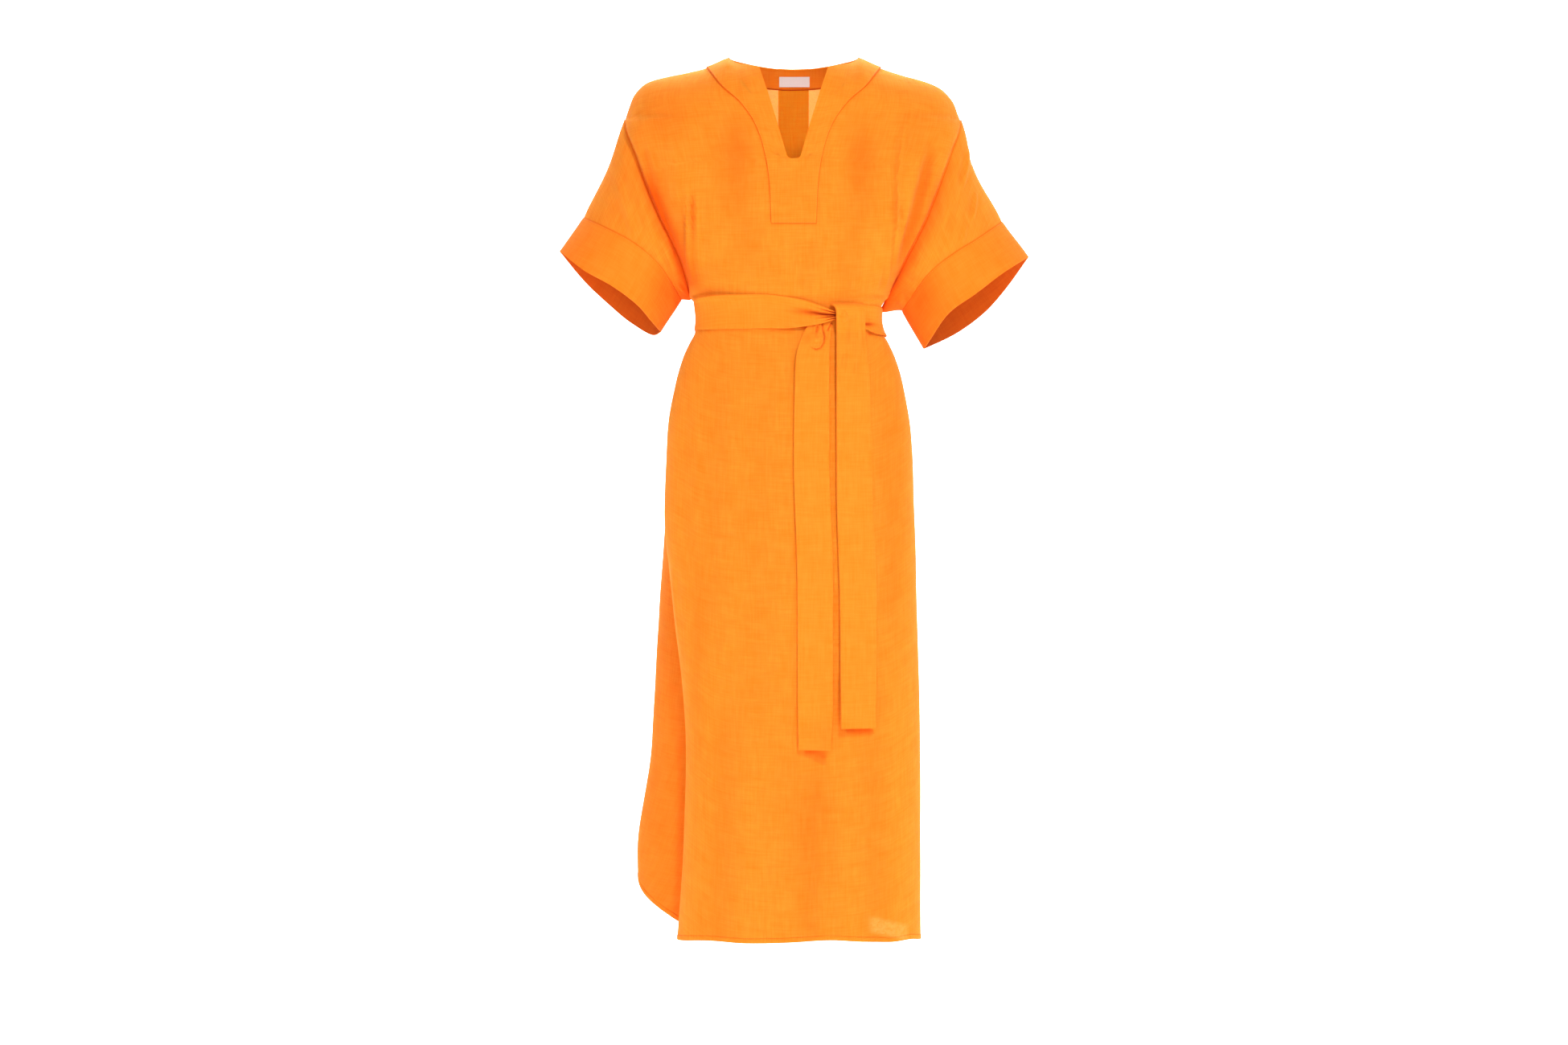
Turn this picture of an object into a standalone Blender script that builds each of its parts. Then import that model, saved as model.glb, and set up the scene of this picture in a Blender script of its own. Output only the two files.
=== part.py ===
"""A belted linen caftan with short wide sleeves, standing hollow as if it were worn.

Metres, +Z up, the front faces -Y and the wearer's left is at +X. The origin lies between the two high
shoulder points, at their height.
"""
from collections import namedtuple
from math import cos, exp, log, pi, sin, sqrt

import bmesh
import bpy

# Cloth
CLOTH = 0.0016          # one thickness of linen with its turnings
DOUBLE_CLOTH = 0.0021   # cuffs and belt, cut double
TRIM_CLOTH = 0.0010     # facings and label
SEAM_GAP = 0.0004       # between two pieces at a seam
NECK_POINT_GAP = 0.0012 # how far the front stays off the seam where the neckline starts
LAY_GAP = 0.0004        # between a panel and what lies on it
ARMHOLE_GAP = 0.0011    # at the shoulder's end and the underarm
ARMHOLE_STEP = 0.0024   # elsewhere the sleeve starts this far behind the body's edge
ARMHOLE_LAP = 0.0012    # and reaches in under it by this
LAP_FROM = 0.026        # the lap begins where the armhole is this deep
LAPPED_DEPTH = 0.034    # and is full here

# Levels, measured down from the high shoulder points
V_TOP_Z = -0.0205       # where the round neckline turns into the V
V_TIP_Z = -0.156
TAB_END_Z = -0.250      # square end of the neck facing
SHOULDER_END_Z = -0.090 # where the shoulder seam meets the sleeve
UNDERARM_Z = -0.349
SIDE_FOLD_Z = -0.600    # the skirt's side folds start here
SKIRT_END_Z = -1.120    # below this the rows bend with the hem
FRONT_HEM_Z = -1.282
BACK_HEM_Z = -1.300
HEM_NOTCH = 0.104       # how far the hem rises at the sides

# Neck
NECK_HALF = 0.0945
V_TOP_HALF = 0.0495
BACK_NECK_DROP = 0.013
FRONT_NECK_CURVE = 0.45 # below 1 the front neckline drops steeply from the high shoulder point
BACK_NECK_CURVE = 1.3
SHOULDER_ROUND = 0.070  # height over which a shoulder rolls from its seam to the chest
NECK_STAND = 0.90       # how far the front neckline stands off the shoulder seam, as a share of the roll

# Sections
BODY_POWER = 2.35       # 2 is an ellipse, more is squarer
SIDE_DEPTH = 0.036      # half the depth of the plain side between front and back curves
OPEN_EDGE_Y = -0.050    # depth of the front's edge over an open side fold
OPEN_WRAP_Y = 0.020     # and of the back where it turns forward there
TUCK = 0.032            # how far a side fold reaches in behind its edge
ROLL = 0.007            # radius of a side fold's edge
ROLL_COLUMNS = 3        # columns over which it turns
TUCK_FALL = 0.0012      # how far the tucked part then drifts back
PLEAT_HALF = 0.0225

# Belt
BELT_WIDTH = 0.050
BELT_CLEAR = 0.0016
SIDE_MEET = 0.08        # the two stretches stop this share of a column short of the side seam
BELT_BACK_TOP = -0.361
BELT_LONG_END_X = 0.0570
BELT_SHORT_END_X = 0.0660
KNOT_X, KNOT_Z = 0.0620, -0.3840
KNOT_SWELL_X = -0.020   # from here to the knot the long stretch stands off the dress
KNOT_LIFT = 0.0070
KNOT_CREASE = 0.0014
KNOT_SIZE = (0.0090, 0.0048, 0.0125)
KNOT_OFF = 0.0104       # from the dress to the middle of the knot

# Label, on the inside of the back neck
LABEL_X, LABEL_TOP_Z = 0.0013, -0.0199
LABEL_WIDTH, LABEL_HEIGHT = 0.0450, 0.0143
LABEL_CLEAR = 0.0012

BodyRow = namedtuple("BodyRow", "z left right front back")
BODY = [
    BodyRow(0.000, 0.2490, 0.2465, -0.078, 0.066),
    BodyRow(-0.090, 0.2485, 0.2460, -0.089, 0.090),
    BodyRow(-0.147, 0.2300, 0.2285, -0.096, 0.102),
    BodyRow(-0.192, 0.2140, 0.2120, -0.102, 0.109),
    BodyRow(-0.237, 0.1950, 0.1945, -0.107, 0.111),
    BodyRow(-0.271, 0.1780, 0.1780, -0.108, 0.109),
    BodyRow(-0.302, 0.1640, 0.1620, -0.107, 0.104),
    BodyRow(-0.330, 0.1560, 0.1485, -0.104, 0.098),
    BodyRow(-0.349, 0.1530, 0.1410, -0.101, 0.092),
    BodyRow(-0.364, 0.1430, 0.1285, -0.097, 0.087),
    BodyRow(-0.384, 0.1410, 0.1265, -0.096, 0.086),
    BodyRow(-0.401, 0.1430, 0.1290, -0.097, 0.087),
    BodyRow(-0.420, 0.1520, 0.1385, -0.102, 0.094),
    BodyRow(-0.440, 0.1610, 0.1475, -0.106, 0.101),
    BodyRow(-0.477, 0.1720, 0.1585, -0.111, 0.111),
    BodyRow(-0.551, 0.1845, 0.1710, -0.117, 0.122),
    BodyRow(-0.669, 0.1890, 0.1760, -0.120, 0.126),
    BodyRow(-0.820, 0.1990, 0.1780, -0.121, 0.126),
    BodyRow(-1.016, 0.2100, 0.1790, -0.124, 0.127),
    BodyRow(-1.172, 0.2300, 0.1785, -0.128, 0.130),
    BodyRow(-1.300, 0.2260, 0.1780, -0.131, 0.133),
]

# The front's own side edges where they stand off the sides, and how far each fold has opened
FoldRow = namedtuple("FoldRow", "z left right opened")
FRONT_EDGE = [
    FoldRow(SIDE_FOLD_Z, 0.1870, 0.1740, 0.0),
    FoldRow(-0.669, 0.1885, 0.1765, 0.12),
    FoldRow(-0.750, 0.1810, 0.1785, 0.45),
    FoldRow(-0.820, 0.1735, 0.1800, 0.70),
    FoldRow(-0.920, 0.1620, 0.1825, 0.92),
    FoldRow(-1.016, 0.1570, 0.1840, 1.0),
    FoldRow(-1.172, 0.1615, 0.1845, 1.0),
    FoldRow(-1.300, 0.1710, 0.1850, 1.0),
]

# Depth of the armhole seam, front and back of the shoulder plane
ArmholeRow = namedtuple("ArmholeRow", "z front back")
ARMHOLE = [
    ArmholeRow(-0.0900, 0.000, 0.000),
    ArmholeRow(-0.0905, -0.008, 0.008),
    ArmholeRow(-0.104, -0.022, 0.024),
    ArmholeRow(-0.147, -0.045, 0.050),
    ArmholeRow(-0.200, -0.058, 0.064),
    ArmholeRow(-0.260, -0.060, 0.066),
    ArmholeRow(-0.302, -0.048, 0.054),
    ArmholeRow(-0.330, -0.028, 0.032),
    ArmholeRow(-0.349, 0.000, 0.000),
]

# The shoulder seam, from the high shoulder point out to the sleeve
ShoulderRow = namedtuple("ShoulderRow", "x left_z right_z")
SHOULDER = [
    ShoulderRow(0.0945, 0.0000, 0.0000),
    ShoulderRow(0.1285, -0.0145, -0.0150),
    ShoulderRow(0.1600, -0.0220, -0.0253),
    ShoulderRow(0.1888, -0.0277, -0.0330),
    ShoulderRow(0.2140, -0.0352, -0.0435),
    ShoulderRow(0.2335, -0.0530, -0.0635),
    ShoulderRow(0.2460, -0.0845, -0.0900),
    ShoulderRow(0.2485, -0.0900, -0.0900),
]

# Half width of the V and of the neck facing round it
NeckRow = namedtuple("NeckRow", "z half")
V_EDGE = [
    NeckRow(V_TOP_Z, V_TOP_HALF),
    NeckRow(-0.057, 0.0378),
    NeckRow(-0.102, 0.0240),
    NeckRow(-0.140, 0.0130),
    NeckRow(V_TIP_Z, 0.0),
]
FACING_EDGE = [
    NeckRow(-0.0190, 0.1285),
    NeckRow(-0.0520, 0.1050),
    NeckRow(-0.0750, 0.0790),
    NeckRow(-0.1070, 0.0565),
    NeckRow(-0.1400, 0.0445),
    NeckRow(-0.1800, 0.0370),
    NeckRow(-0.2100, 0.0345),
    NeckRow(TAB_END_Z, 0.0330),
]

# Soft folds: a trough is above zero, a ridge below it. Each runs from its upper to its lower end
Fold = namedtuple("Fold", "top_x top_z low_x low_z width depth")
FRONT_FOLDS = [
    Fold(-0.206, -0.140, -0.163, -0.325, 0.0110, 0.0060),
    Fold(-0.176, -0.130, -0.144, -0.335, 0.0110, -0.0040),
    Fold(-0.120, -0.070, -0.062, -0.330, 0.0280, 0.0045),
    Fold(0.200, -0.130, 0.160, -0.310, 0.0110, 0.0060),
    Fold(0.168, -0.110, 0.138, -0.330, 0.0110, -0.0040),
    Fold(0.118, -0.080, 0.070, -0.330, 0.0260, 0.0045),
    Fold(0.028, -0.260, 0.012, -0.345, 0.0120, 0.0030),
    Fold(-0.110, -0.405, -0.125, -0.900, 0.0250, 0.0040),
    Fold(-0.050, -0.410, -0.060, -1.000, 0.0300, 0.0030),
    Fold(0.125, -0.410, 0.142, -0.860, 0.0200, 0.0040),
    Fold(-0.100, -0.900, -0.110, -1.290, 0.0240, 0.0060),
    Fold(0.030, -1.020, 0.020, -1.290, 0.0260, 0.0050),
    Fold(0.110, -0.930, 0.120, -1.290, 0.0240, 0.0055),
]
BACK_FOLDS = [
    Fold(-0.110, -0.100, -0.060, -0.330, 0.0260, 0.0060),
    Fold(0.115, -0.090, 0.070, -0.330, 0.0240, 0.0055),
    Fold(-0.176, -0.140, -0.150, -0.330, 0.0120, 0.0060),
    Fold(0.172, -0.130, 0.142, -0.320, 0.0120, 0.0055),
    Fold(0.000, -0.415, 0.004, -1.290, 0.0220, 0.0110),
    Fold(-0.080, -0.410, -0.095, -1.290, 0.0260, 0.0080),
    Fold(0.085, -0.410, 0.098, -1.290, 0.0260, 0.0080),
    Fold(-0.140, -0.420, -0.150, -0.900, 0.0160, 0.0040),
]

# Cuff: its seam on the sleeve and its open end, seen from the front. The far side hangs lower
CuffRow = namedtuple("CuffRow", "t seam_x seam_z end_x end_z back_x back_z")
CUFFS = {
    "right": [
        CuffRow(0.00, -0.3080, -0.2336, -0.3434, -0.2832, -0.3434, -0.2832),
        CuffRow(0.25, -0.2686, -0.2535, -0.3045, -0.3145, -0.3100, -0.3235),
        CuffRow(0.50, -0.2326, -0.2735, -0.2640, -0.3375, -0.2755, -0.3562),
        CuffRow(0.75, -0.1950, -0.3060, -0.2265, -0.3655, -0.2375, -0.3835),
        CuffRow(1.00, -0.1650, -0.3540, -0.1944, -0.3985, -0.1944, -0.3985),
    ],
    "left": [
        CuffRow(0.00, 0.3055, -0.2395, 0.3446, -0.2915, 0.3446, -0.2915),
        CuffRow(0.25, 0.2680, -0.2665, 0.3036, -0.3187, 0.3180, -0.3300),
        CuffRow(0.50, 0.2320, -0.2895, 0.2640, -0.3490, 0.2850, -0.3680),
        CuffRow(0.75, 0.1960, -0.3185, 0.2260, -0.3760, 0.2400, -0.4015),
        CuffRow(1.00, 0.1593, -0.3705, 0.1912, -0.4260, 0.1912, -0.4260),
    ],
}
CUFF_DEPTH = 0.066      # half the depth of the open sleeve, front to back
SEAM_DEPTH_SHARE = 0.95 # depth at the cuff's seam as a share of it
SEAM_BACK_SHARE = 0.6   # how much of the far side's drop shows at the seam already
SLEEVE_SWELL = 0.010
OVERARM_DENT = {"right": 0.005, "left": 0.010}
SIDE_SIGN = {"right": -1, "left": 1}   # the wearer's right is at -X

# Top and low edge of the belt's two stretches in front
BeltRow = namedtuple("BeltRow", "x top low")
BELT_LONG = [
    BeltRow(-0.1450, -0.3620, -0.3990),
    BeltRow(-0.1298, -0.3550, -0.4010),
    BeltRow(-0.0885, -0.3515, -0.4010),
    BeltRow(-0.0466, -0.3510, -0.4005),
    BeltRow(-0.0153, -0.3540, -0.4008),
    BeltRow(0.0160, -0.3600, -0.3978),
    BeltRow(0.0380, -0.3680, -0.3940),
    BeltRow(0.0570, -0.3755, -0.3880),
    BeltRow(0.1300, -0.3650, -0.4020),
]
BELT_SHORT = [
    BeltRow(0.0660, -0.3653, -0.4050),
    BeltRow(0.0980, -0.3653, -0.4055),
    BeltRow(0.1290, -0.3680, -0.4045),
]

# Hanging ends of the belt: left and right edge and how far they stand off the skirt
EndRow = namedtuple("EndRow", "z left right lift")
BELT_ENDS = {
    "belt_end_left": [
        EndRow(-0.3640, 0.0650, 0.1010, 0.0062),
        EndRow(-0.3690, 0.0640, 0.1020, 0.0150),
        EndRow(-0.3850, 0.0630, 0.1030, 0.0175),
        EndRow(-0.4100, 0.0630, 0.1040, 0.0125),
        EndRow(-0.4850, 0.0620, 0.1095, 0.0060),
        EndRow(-0.6250, 0.0640, 0.1120, 0.0040),
        EndRow(-0.8000, 0.0690, 0.1200, 0.0040),
        EndRow(-0.9770, 0.0690, 0.1180, 0.0060),
    ],
    "belt_end_right": [
        EndRow(-0.3860, 0.0300, 0.0545, 0.0018),
        EndRow(-0.3980, 0.0270, 0.0545, 0.0026),
        EndRow(-0.4230, 0.0130, 0.0500, 0.0070),
        EndRow(-0.4500, 0.0035, 0.0500, 0.0060),
        EndRow(-0.5900, 0.0020, 0.0520, 0.0035),
        EndRow(-0.7700, 0.0060, 0.0560, 0.0035),
        EndRow(-0.9400, 0.0060, 0.0560, 0.0045),
        EndRow(-1.0080, 0.0080, 0.0520, 0.0120),
    ],
}
BELT_END_STEPS = {"belt_end_left": (1, 1, 1, 2, 3, 3, 3), "belt_end_right": (1, 2, 2, 3, 3, 3, 2)}

# Rows and columns
NECK_ROWS = 14
V_TIP_ROW = 10
SEAM_FACET = 0.0015     # the first row's share, which keeps both walls upright at the shoulder seam
CHEST_ROWS = 4
BELT_LEVELS = [-0.359, -0.369, -0.384, -0.401, -0.420, -0.440]
SKIRT_LEVELS = [-0.477, -0.515, -0.551, -0.600, -0.669, -0.750, -0.820, -0.920, -1.016, SKIRT_END_Z]
HEM_ROWS = 4
FACING_COLUMN = 3
FRONT_OUTER_COLUMNS = 8
BACK_INNER_X = [0.0, PLEAT_HALF, 0.058, NECK_HALF, 0.1285]
BACK_OUTER_COLUMNS = 6
FRONT_SIDE_COLUMNS = 5
BACK_SIDE_COLUMNS = 6
SLEEVE_ROWS = 5
CUFF_ROWS = 2
BELT_ROWS = 3
BELT_END_COLUMNS = 4
BACK_FACING_ROWS = 4
LABEL_COLUMNS = 3
FACING_SHARES = [0.0, (0.072 - V_TOP_HALF) / (0.1285 - V_TOP_HALF),
                 (NECK_HALF - V_TOP_HALF) / (0.1285 - V_TOP_HALF), 1.0]

COLOURS = {
    "linen": (0.95, 0.31, 0.022),
    "linen_double": (0.93, 0.29, 0.018),
    "label": (0.86, 0.86, 0.87),
}
LINEN_ROUGHNESS = 0.85


def mix(a, b, share):
    return a + (b - a) * share


def ease(share):
    share = min(max(share, 0.0), 1.0)
    return share * share * (3 - 2 * share)


def table_at(rows, column, at, key="z"):
    """Smooth value of a table's column between its rows."""
    keys = [getattr(row, key) for row in rows]
    values = [getattr(row, column) for row in rows]
    if keys[0] > keys[-1]:
        keys.reverse()
        values.reverse()
    at = min(max(at, keys[0]), keys[-1])
    i = max(k for k in range(len(keys) - 1) if keys[k] <= at)
    span = keys[i + 1] - keys[i]
    steps = [(values[k + 1] - values[k]) / (keys[k + 1] - keys[k]) for k in range(len(keys) - 1)]

    def slope(k):
        if k == 0 or k == len(keys) - 1 or steps[k - 1] * steps[k] <= 0:
            return 0.0 if 0 < k < len(keys) - 1 else steps[min(k, len(steps) - 1)]
        return 2 / (1 / steps[k - 1] + 1 / steps[k])

    s = (at - keys[i]) / span
    return (values[i] * (1 + 2 * s) * (1 - s) ** 2 + values[i + 1] * s * s * (3 - 2 * s)
            + span * (slope(i) * s * (1 - s) ** 2 + slope(i + 1) * s * s * (s - 1)))


def half_width(sign, z):
    return table_at(BODY, "left" if sign < 0 else "right", z)


def shoulder_z(sign, x):
    return table_at(SHOULDER, "left_z" if sign < 0 else "right_z", abs(x), key="x")


def fold_depth(folds, x, z):
    """Sum of the soft folds at a point of a panel, above zero into the garment."""
    total = 0.0
    for fold in folds:
        along = (fold.top_z - z) / (fold.top_z - fold.low_z)
        if -0.1 < along < 1.1:
            centre = mix(fold.top_x, fold.low_x, along)
            fade = ease((along + 0.1) / 0.35) * (ease((1.1 - along) / 0.3) if fold.low_z > -1.2 else 1.0)
            total += fold.depth * fade * exp(-((x - centre) / fold.width) ** 2)
    belt_hold = ease((abs(z - KNOT_Z) - 0.020) / 0.030)
    return total * belt_hold


def shoulder_roll(sign, x, z, neck_z):
    """0 at the shoulder seam, rising to 1 where the cloth has rolled down over the shoulder."""
    x = abs(x)
    if x >= NECK_HALF:
        below = shoulder_z(sign, x) - z
    else:
        stand = NECK_STAND * sqrt(1 - (x / NECK_HALF) ** 2)
        below = neck_z(x) - z + SHOULDER_ROUND * (1 - sqrt(1 - stand * stand))
    share = min(max(below / SHOULDER_ROUND, 0.0), 1.0)
    return sqrt(1 - (1 - share) ** 2)


def front_neck_z(x):
    return V_TOP_Z * min((NECK_HALF - x) / (NECK_HALF - V_TOP_HALF), 1.0) ** FRONT_NECK_CURVE


def back_neck_z(x):
    return -BACK_NECK_DROP * (1 - (x / NECK_HALF) ** 2) ** BACK_NECK_CURVE


def squared(share):
    return (1 - min(share, 1.0) ** BODY_POWER) ** (1 / BODY_POWER)


PANELS = {
    "front": dict(depth="front", folds=FRONT_FOLDS, neck_z=front_neck_z, out=-1),
    "back": dict(depth="back", folds=BACK_FOLDS, neck_z=back_neck_z, out=1),
}


def bodice_point(panel, sign, x, z):
    """A point of a panel above the underarm, x outwards from the centre."""
    spec = PANELS[panel]
    edge = half_width(sign, z)
    edge_y = table_at(ARMHOLE, spec["depth"], z)
    centre_y = table_at(BODY, spec["depth"], z)
    roll = shoulder_roll(sign, x, z, spec["neck_z"])
    y = edge_y + (centre_y - edge_y) * squared(x / edge) * roll
    inset = fold_depth(spec["folds"], sign * x, z) * roll * (1 if x < edge - 0.001 else 0)
    y -= spec["out"] * inset
    at_neck_point = panel == "front" and x < NECK_HALF + SEAM_GAP
    seam = spec["out"] * (NECK_POINT_GAP if at_neck_point else SEAM_GAP / 2)
    y = max(y, seam) if spec["out"] > 0 else min(y, seam)
    return (sign * x, y, z)


def side_values(sign, z):
    """Fold edge, side and tuck at one height of the skirt, as distances from the centre."""
    column = "left" if sign < 0 else "right"
    side = half_width(sign, z)
    opened = table_at(FRONT_EDGE, "opened", z) if z < SIDE_FOLD_Z else 0.0
    edge = table_at(FRONT_EDGE, column, z) if z < SIDE_FOLD_Z else side
    edge = mix(side, edge, min(opened * 8, 1.0))
    return side, edge, opened


def fold_edge_y(opened):
    """Depth of the front's edge, where its side begins."""
    return mix(-SIDE_DEPTH, OPEN_EDGE_Y, opened)


def wrap_start_y(opened):
    """Depth at which the back reaches its full width and turns forward."""
    return mix(SIDE_DEPTH, OPEN_WRAP_Y, opened)


def skirt_point(panel, sign, share, z):
    """A point of a panel's broad part below the belt, share from 0 at the centre to 1 at the side."""
    spec = PANELS[panel]
    side, edge, opened = side_values(sign, z)
    if panel == "front":
        width, end_y = edge, fold_edge_y(opened)
    else:
        width, end_y = side, wrap_start_y(opened)
    x = width * share
    y = end_y + (table_at(BODY, spec["depth"], z) - end_y) * squared(share)
    y -= spec["out"] * fold_depth(spec["folds"], sign * x, z) * (1 - share ** 12)
    return (sign * x, y, z)


def front_side_point(sign, step, z):
    """The front's side below the belt: plain down to the fold, then rolled back and tucked in."""
    side, edge, opened = side_values(sign, z)
    start_y = fold_edge_y(opened)
    share = step / FRONT_SIDE_COLUMNS
    plain = (mix(edge, side, share), mix(start_y, -SEAM_GAP / 2, share))
    if step <= ROLL_COLUMNS:
        turn = pi / 2 * step / ROLL_COLUMNS
        folded = (edge - ROLL * (1 - cos(turn)), start_y + ROLL * sin(turn))
    else:
        run = (step - ROLL_COLUMNS) / (FRONT_SIDE_COLUMNS - ROLL_COLUMNS)
        folded = (edge - ROLL - (TUCK - ROLL) * run, start_y + ROLL + TUCK_FALL * run)
    return (sign * mix(plain[0], folded[0], opened), mix(plain[1], folded[1], opened), z)


def back_side_point(sign, step, z):
    """The back's side below the belt: plain to the fold, then wrapped in behind the front's edge."""
    side, edge, opened = side_values(sign, z)
    share = step / BACK_SIDE_COLUMNS
    start_y = wrap_start_y(opened)
    plain = (side, mix(start_y, SEAM_GAP / 2, share))
    turn = pi / 2 * share
    tuck_x = edge - TUCK
    tuck_y = fold_edge_y(opened) + ROLL + mix(0.0040, TUCK_FALL + SEAM_GAP, share ** 6)
    folded = (tuck_x + (side - tuck_x) * cos(turn), mix(start_y, tuck_y, sin(turn) ** 1.3))
    return (sign * mix(plain[0], folded[0], opened), mix(plain[1], folded[1], opened), z)


def hem_z(panel, share, step):
    """Height of the hem: level in front, rising to a notch at each side, lowest at the centre back."""
    if panel == "front":
        return FRONT_HEM_Z
    if step:
        return mix(BACK_HEM_Z + HEM_NOTCH, FRONT_HEM_Z + 0.003, (step / BACK_SIDE_COLUMNS) ** 1.3)
    return BACK_HEM_Z + HEM_NOTCH * max(0.0, (share - 0.5) / 0.5) ** 2.7


def neck_share(row):
    """How far down a row lies between neck and tab end. The first one hugs the shoulder seam."""
    if row <= 1:
        return SEAM_FACET * row
    power = log((V_TIP_Z - V_TOP_Z) / (TAB_END_Z - V_TOP_Z)) / log((V_TIP_ROW - 1) / (NECK_ROWS - 1))
    return ((row - 1) / (NECK_ROWS - 1)) ** power


def panel_columns(panel):
    """Shares of the width at which a panel's columns stand below the bodice, centre to side."""
    if panel == "front":
        inner = [0.033 / 0.17 * share for share in FACING_SHARES]
        count = FRONT_OUTER_COLUMNS
    else:
        inner = [x / 0.2485 for x in BACK_INNER_X]
        count = BACK_OUTER_COLUMNS
    turn = [pi / 2 * k / count for k in range(1, count + 1)]
    rest = [inner[-1] + (1 - inner[-1]) * sin(angle) ** 0.95 for angle in turn]
    return inner + rest


def bodice_x(panel, sign, column, row, z, face_z, edge):
    """Distance from the centre of a column's point on a row above the underarm."""
    shares = panel_columns(panel)
    if panel == "front":
        face = table_at(FACING_EDGE, "half", face_z)
        if column <= FACING_COLUMN:
            inner = table_at(V_EDGE, "half", z) if row < V_TIP_ROW else 0.0
            return mix(inner, face, FACING_SHARES[column])
        first, start = FACING_COLUMN, face
    else:
        if column < len(BACK_INNER_X):
            start = BACK_INNER_X[column]
            lower = start * edge / half_width(sign, 0.0) if column > 1 else start
            return mix(start, lower, ease(neck_share(min(row, NECK_ROWS)) * 2))
        first = len(BACK_INNER_X) - 1
        start = mix(BACK_INNER_X[-1], BACK_INNER_X[-1] * edge / half_width(sign, 0.0),
                    ease(neck_share(min(row, NECK_ROWS)) * 2))
    reach = (shares[column] - shares[first]) / (1 - shares[first])
    return mix(start, edge, reach)


def bodice_rows(panel, sign):
    """Grid of points from the neck and shoulder down to the underarm, one list for each row."""
    columns = len(panel_columns(panel))
    face_top = FACING_EDGE[0].z
    tops = []
    for column in range(columns):
        x = bodice_x(panel, sign, column, 0, V_TOP_Z, face_top, half_width(sign, SHOULDER_END_Z))
        tops.append(PANELS[panel]["neck_z"](x) if x < NECK_HALF - 1e-6 else shoulder_z(sign, x))
    tops[-1] = SHOULDER_END_Z
    grid = []
    for row in range(NECK_ROWS + CHEST_ROWS + 1):
        line = []
        for column in range(columns):
            if row <= NECK_ROWS:
                share = neck_share(row)
                starts = (tops[column], face_top, tops[-1])
                z, face_z, outer_z = (mix(start, TAB_END_Z, share) for start in starts)
            else:
                z = face_z = outer_z = mix(TAB_END_Z, UNDERARM_Z, (row - NECK_ROWS) / CHEST_ROWS)
            x = bodice_x(panel, sign, column, row, z, face_z, half_width(sign, outer_z))
            line.append(bodice_point(panel, sign, x, z))
        grid.append(line)
    return grid


def skirt_column_point(panel, sign, column, z):
    shares = panel_columns(panel)
    if column < len(shares):
        return skirt_point(panel, sign, shares[column], z)
    step = column - len(shares) + 1
    return (front_side_point if panel == "front" else back_side_point)(sign, step, z)


def panel_half(panel, sign):
    """All rows of half a panel, centre column first. The side's columns start at the armhole edge."""
    shares = panel_columns(panel)
    side_columns = FRONT_SIDE_COLUMNS if panel == "front" else BACK_SIDE_COLUMNS
    bodice = bodice_rows(panel, sign)
    broad = len(shares)
    total = broad + side_columns
    grid = []
    for line in bodice:
        last, edge = line[-2], line[-1]
        spread = [tuple(mix(a, b, (k + 1) / (side_columns + 1)) for a, b in zip(last, edge))
                  for k in range(side_columns)]
        grid.append(line[:-1] + spread + [edge])
    for z in BELT_LEVELS + SKIRT_LEVELS:
        grid.append([skirt_column_point(panel, sign, column, z) for column in range(total)])
    for row in range(1, HEM_ROWS + 1):
        line = []
        for column in range(total):
            share = shares[min(column, broad - 1)]
            end = hem_z(panel, share, max(0, column - broad + 1))
            line.append(skirt_column_point(panel, sign, column, mix(SKIRT_END_Z, end, row / HEM_ROWS)))
        grid.append(line)
    return grid


def whole_panel(panel):
    """Both halves side by side, as rows of (point, column); column is below zero at -X."""
    left, right = panel_half(panel, -1), panel_half(panel, 1)
    return [list(reversed(a)) + b for a, b in zip(left, right)]


# Objects

def material(name, colour_name):
    made = bpy.data.materials.new(name)
    made.use_nodes = True
    shader = made.node_tree.nodes["Principled BSDF"]
    shader.inputs["Base Color"].default_value = (*COLOURS[colour_name], 1)
    shader.inputs["Roughness"].default_value = LINEN_ROUGHNESS
    return made


def cloth(collection, name, rows, thickness, colour_name, closed=False, outward=-1.0, lift=0.0):
    """A wall of cloth from rows of points. It grows inward from them, or outward if outward is 1."""
    width = len(rows[0])
    form = bmesh.new()
    grid = [[form.verts.new(point) for point in line] for line in rows]
    for upper, lower in zip(grid, grid[1:]):
        for k in range(width if closed else width - 1):
            form.faces.new((upper[k], lower[k], lower[(k + 1) % width], upper[(k + 1) % width]))
    bmesh.ops.remove_doubles(form, verts=form.verts, dist=1e-5)
    if lift:
        form.normal_update()
        shifts = [vert.normal * lift for vert in form.verts]
        for vert, shift in zip(form.verts, shifts):
            vert.co += shift
    mesh = bpy.data.meshes.new(name)
    form.to_mesh(mesh)
    form.free()
    mesh.shade_smooth()
    mesh.materials.append(material(name + "_cloth", colour_name))
    piece = bpy.data.objects.new(name, mesh)
    collection.objects.link(piece)
    wall = piece.modifiers.new("wall", "SOLIDIFY")
    wall.thickness = thickness
    wall.offset = outward
    wall.use_rim = True
    wall.use_quality_normals = True
    return piece


def turned(rows):
    """The same rows with their columns in the other order, so that the faces look the other way."""
    return [list(reversed(line)) for line in rows]


def cut_v(piece):
    """Takes out the strip of faces that bridges the V."""
    form = bmesh.new()
    form.from_mesh(piece.data)
    bridge = [face for face in form.faces
              if min(v.co.x for v in face.verts) < -0.001 and max(v.co.x for v in face.verts) > 0.001]
    bmesh.ops.delete(form, geom=bridge, context="FACES")
    form.to_mesh(piece.data)
    form.free()


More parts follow.
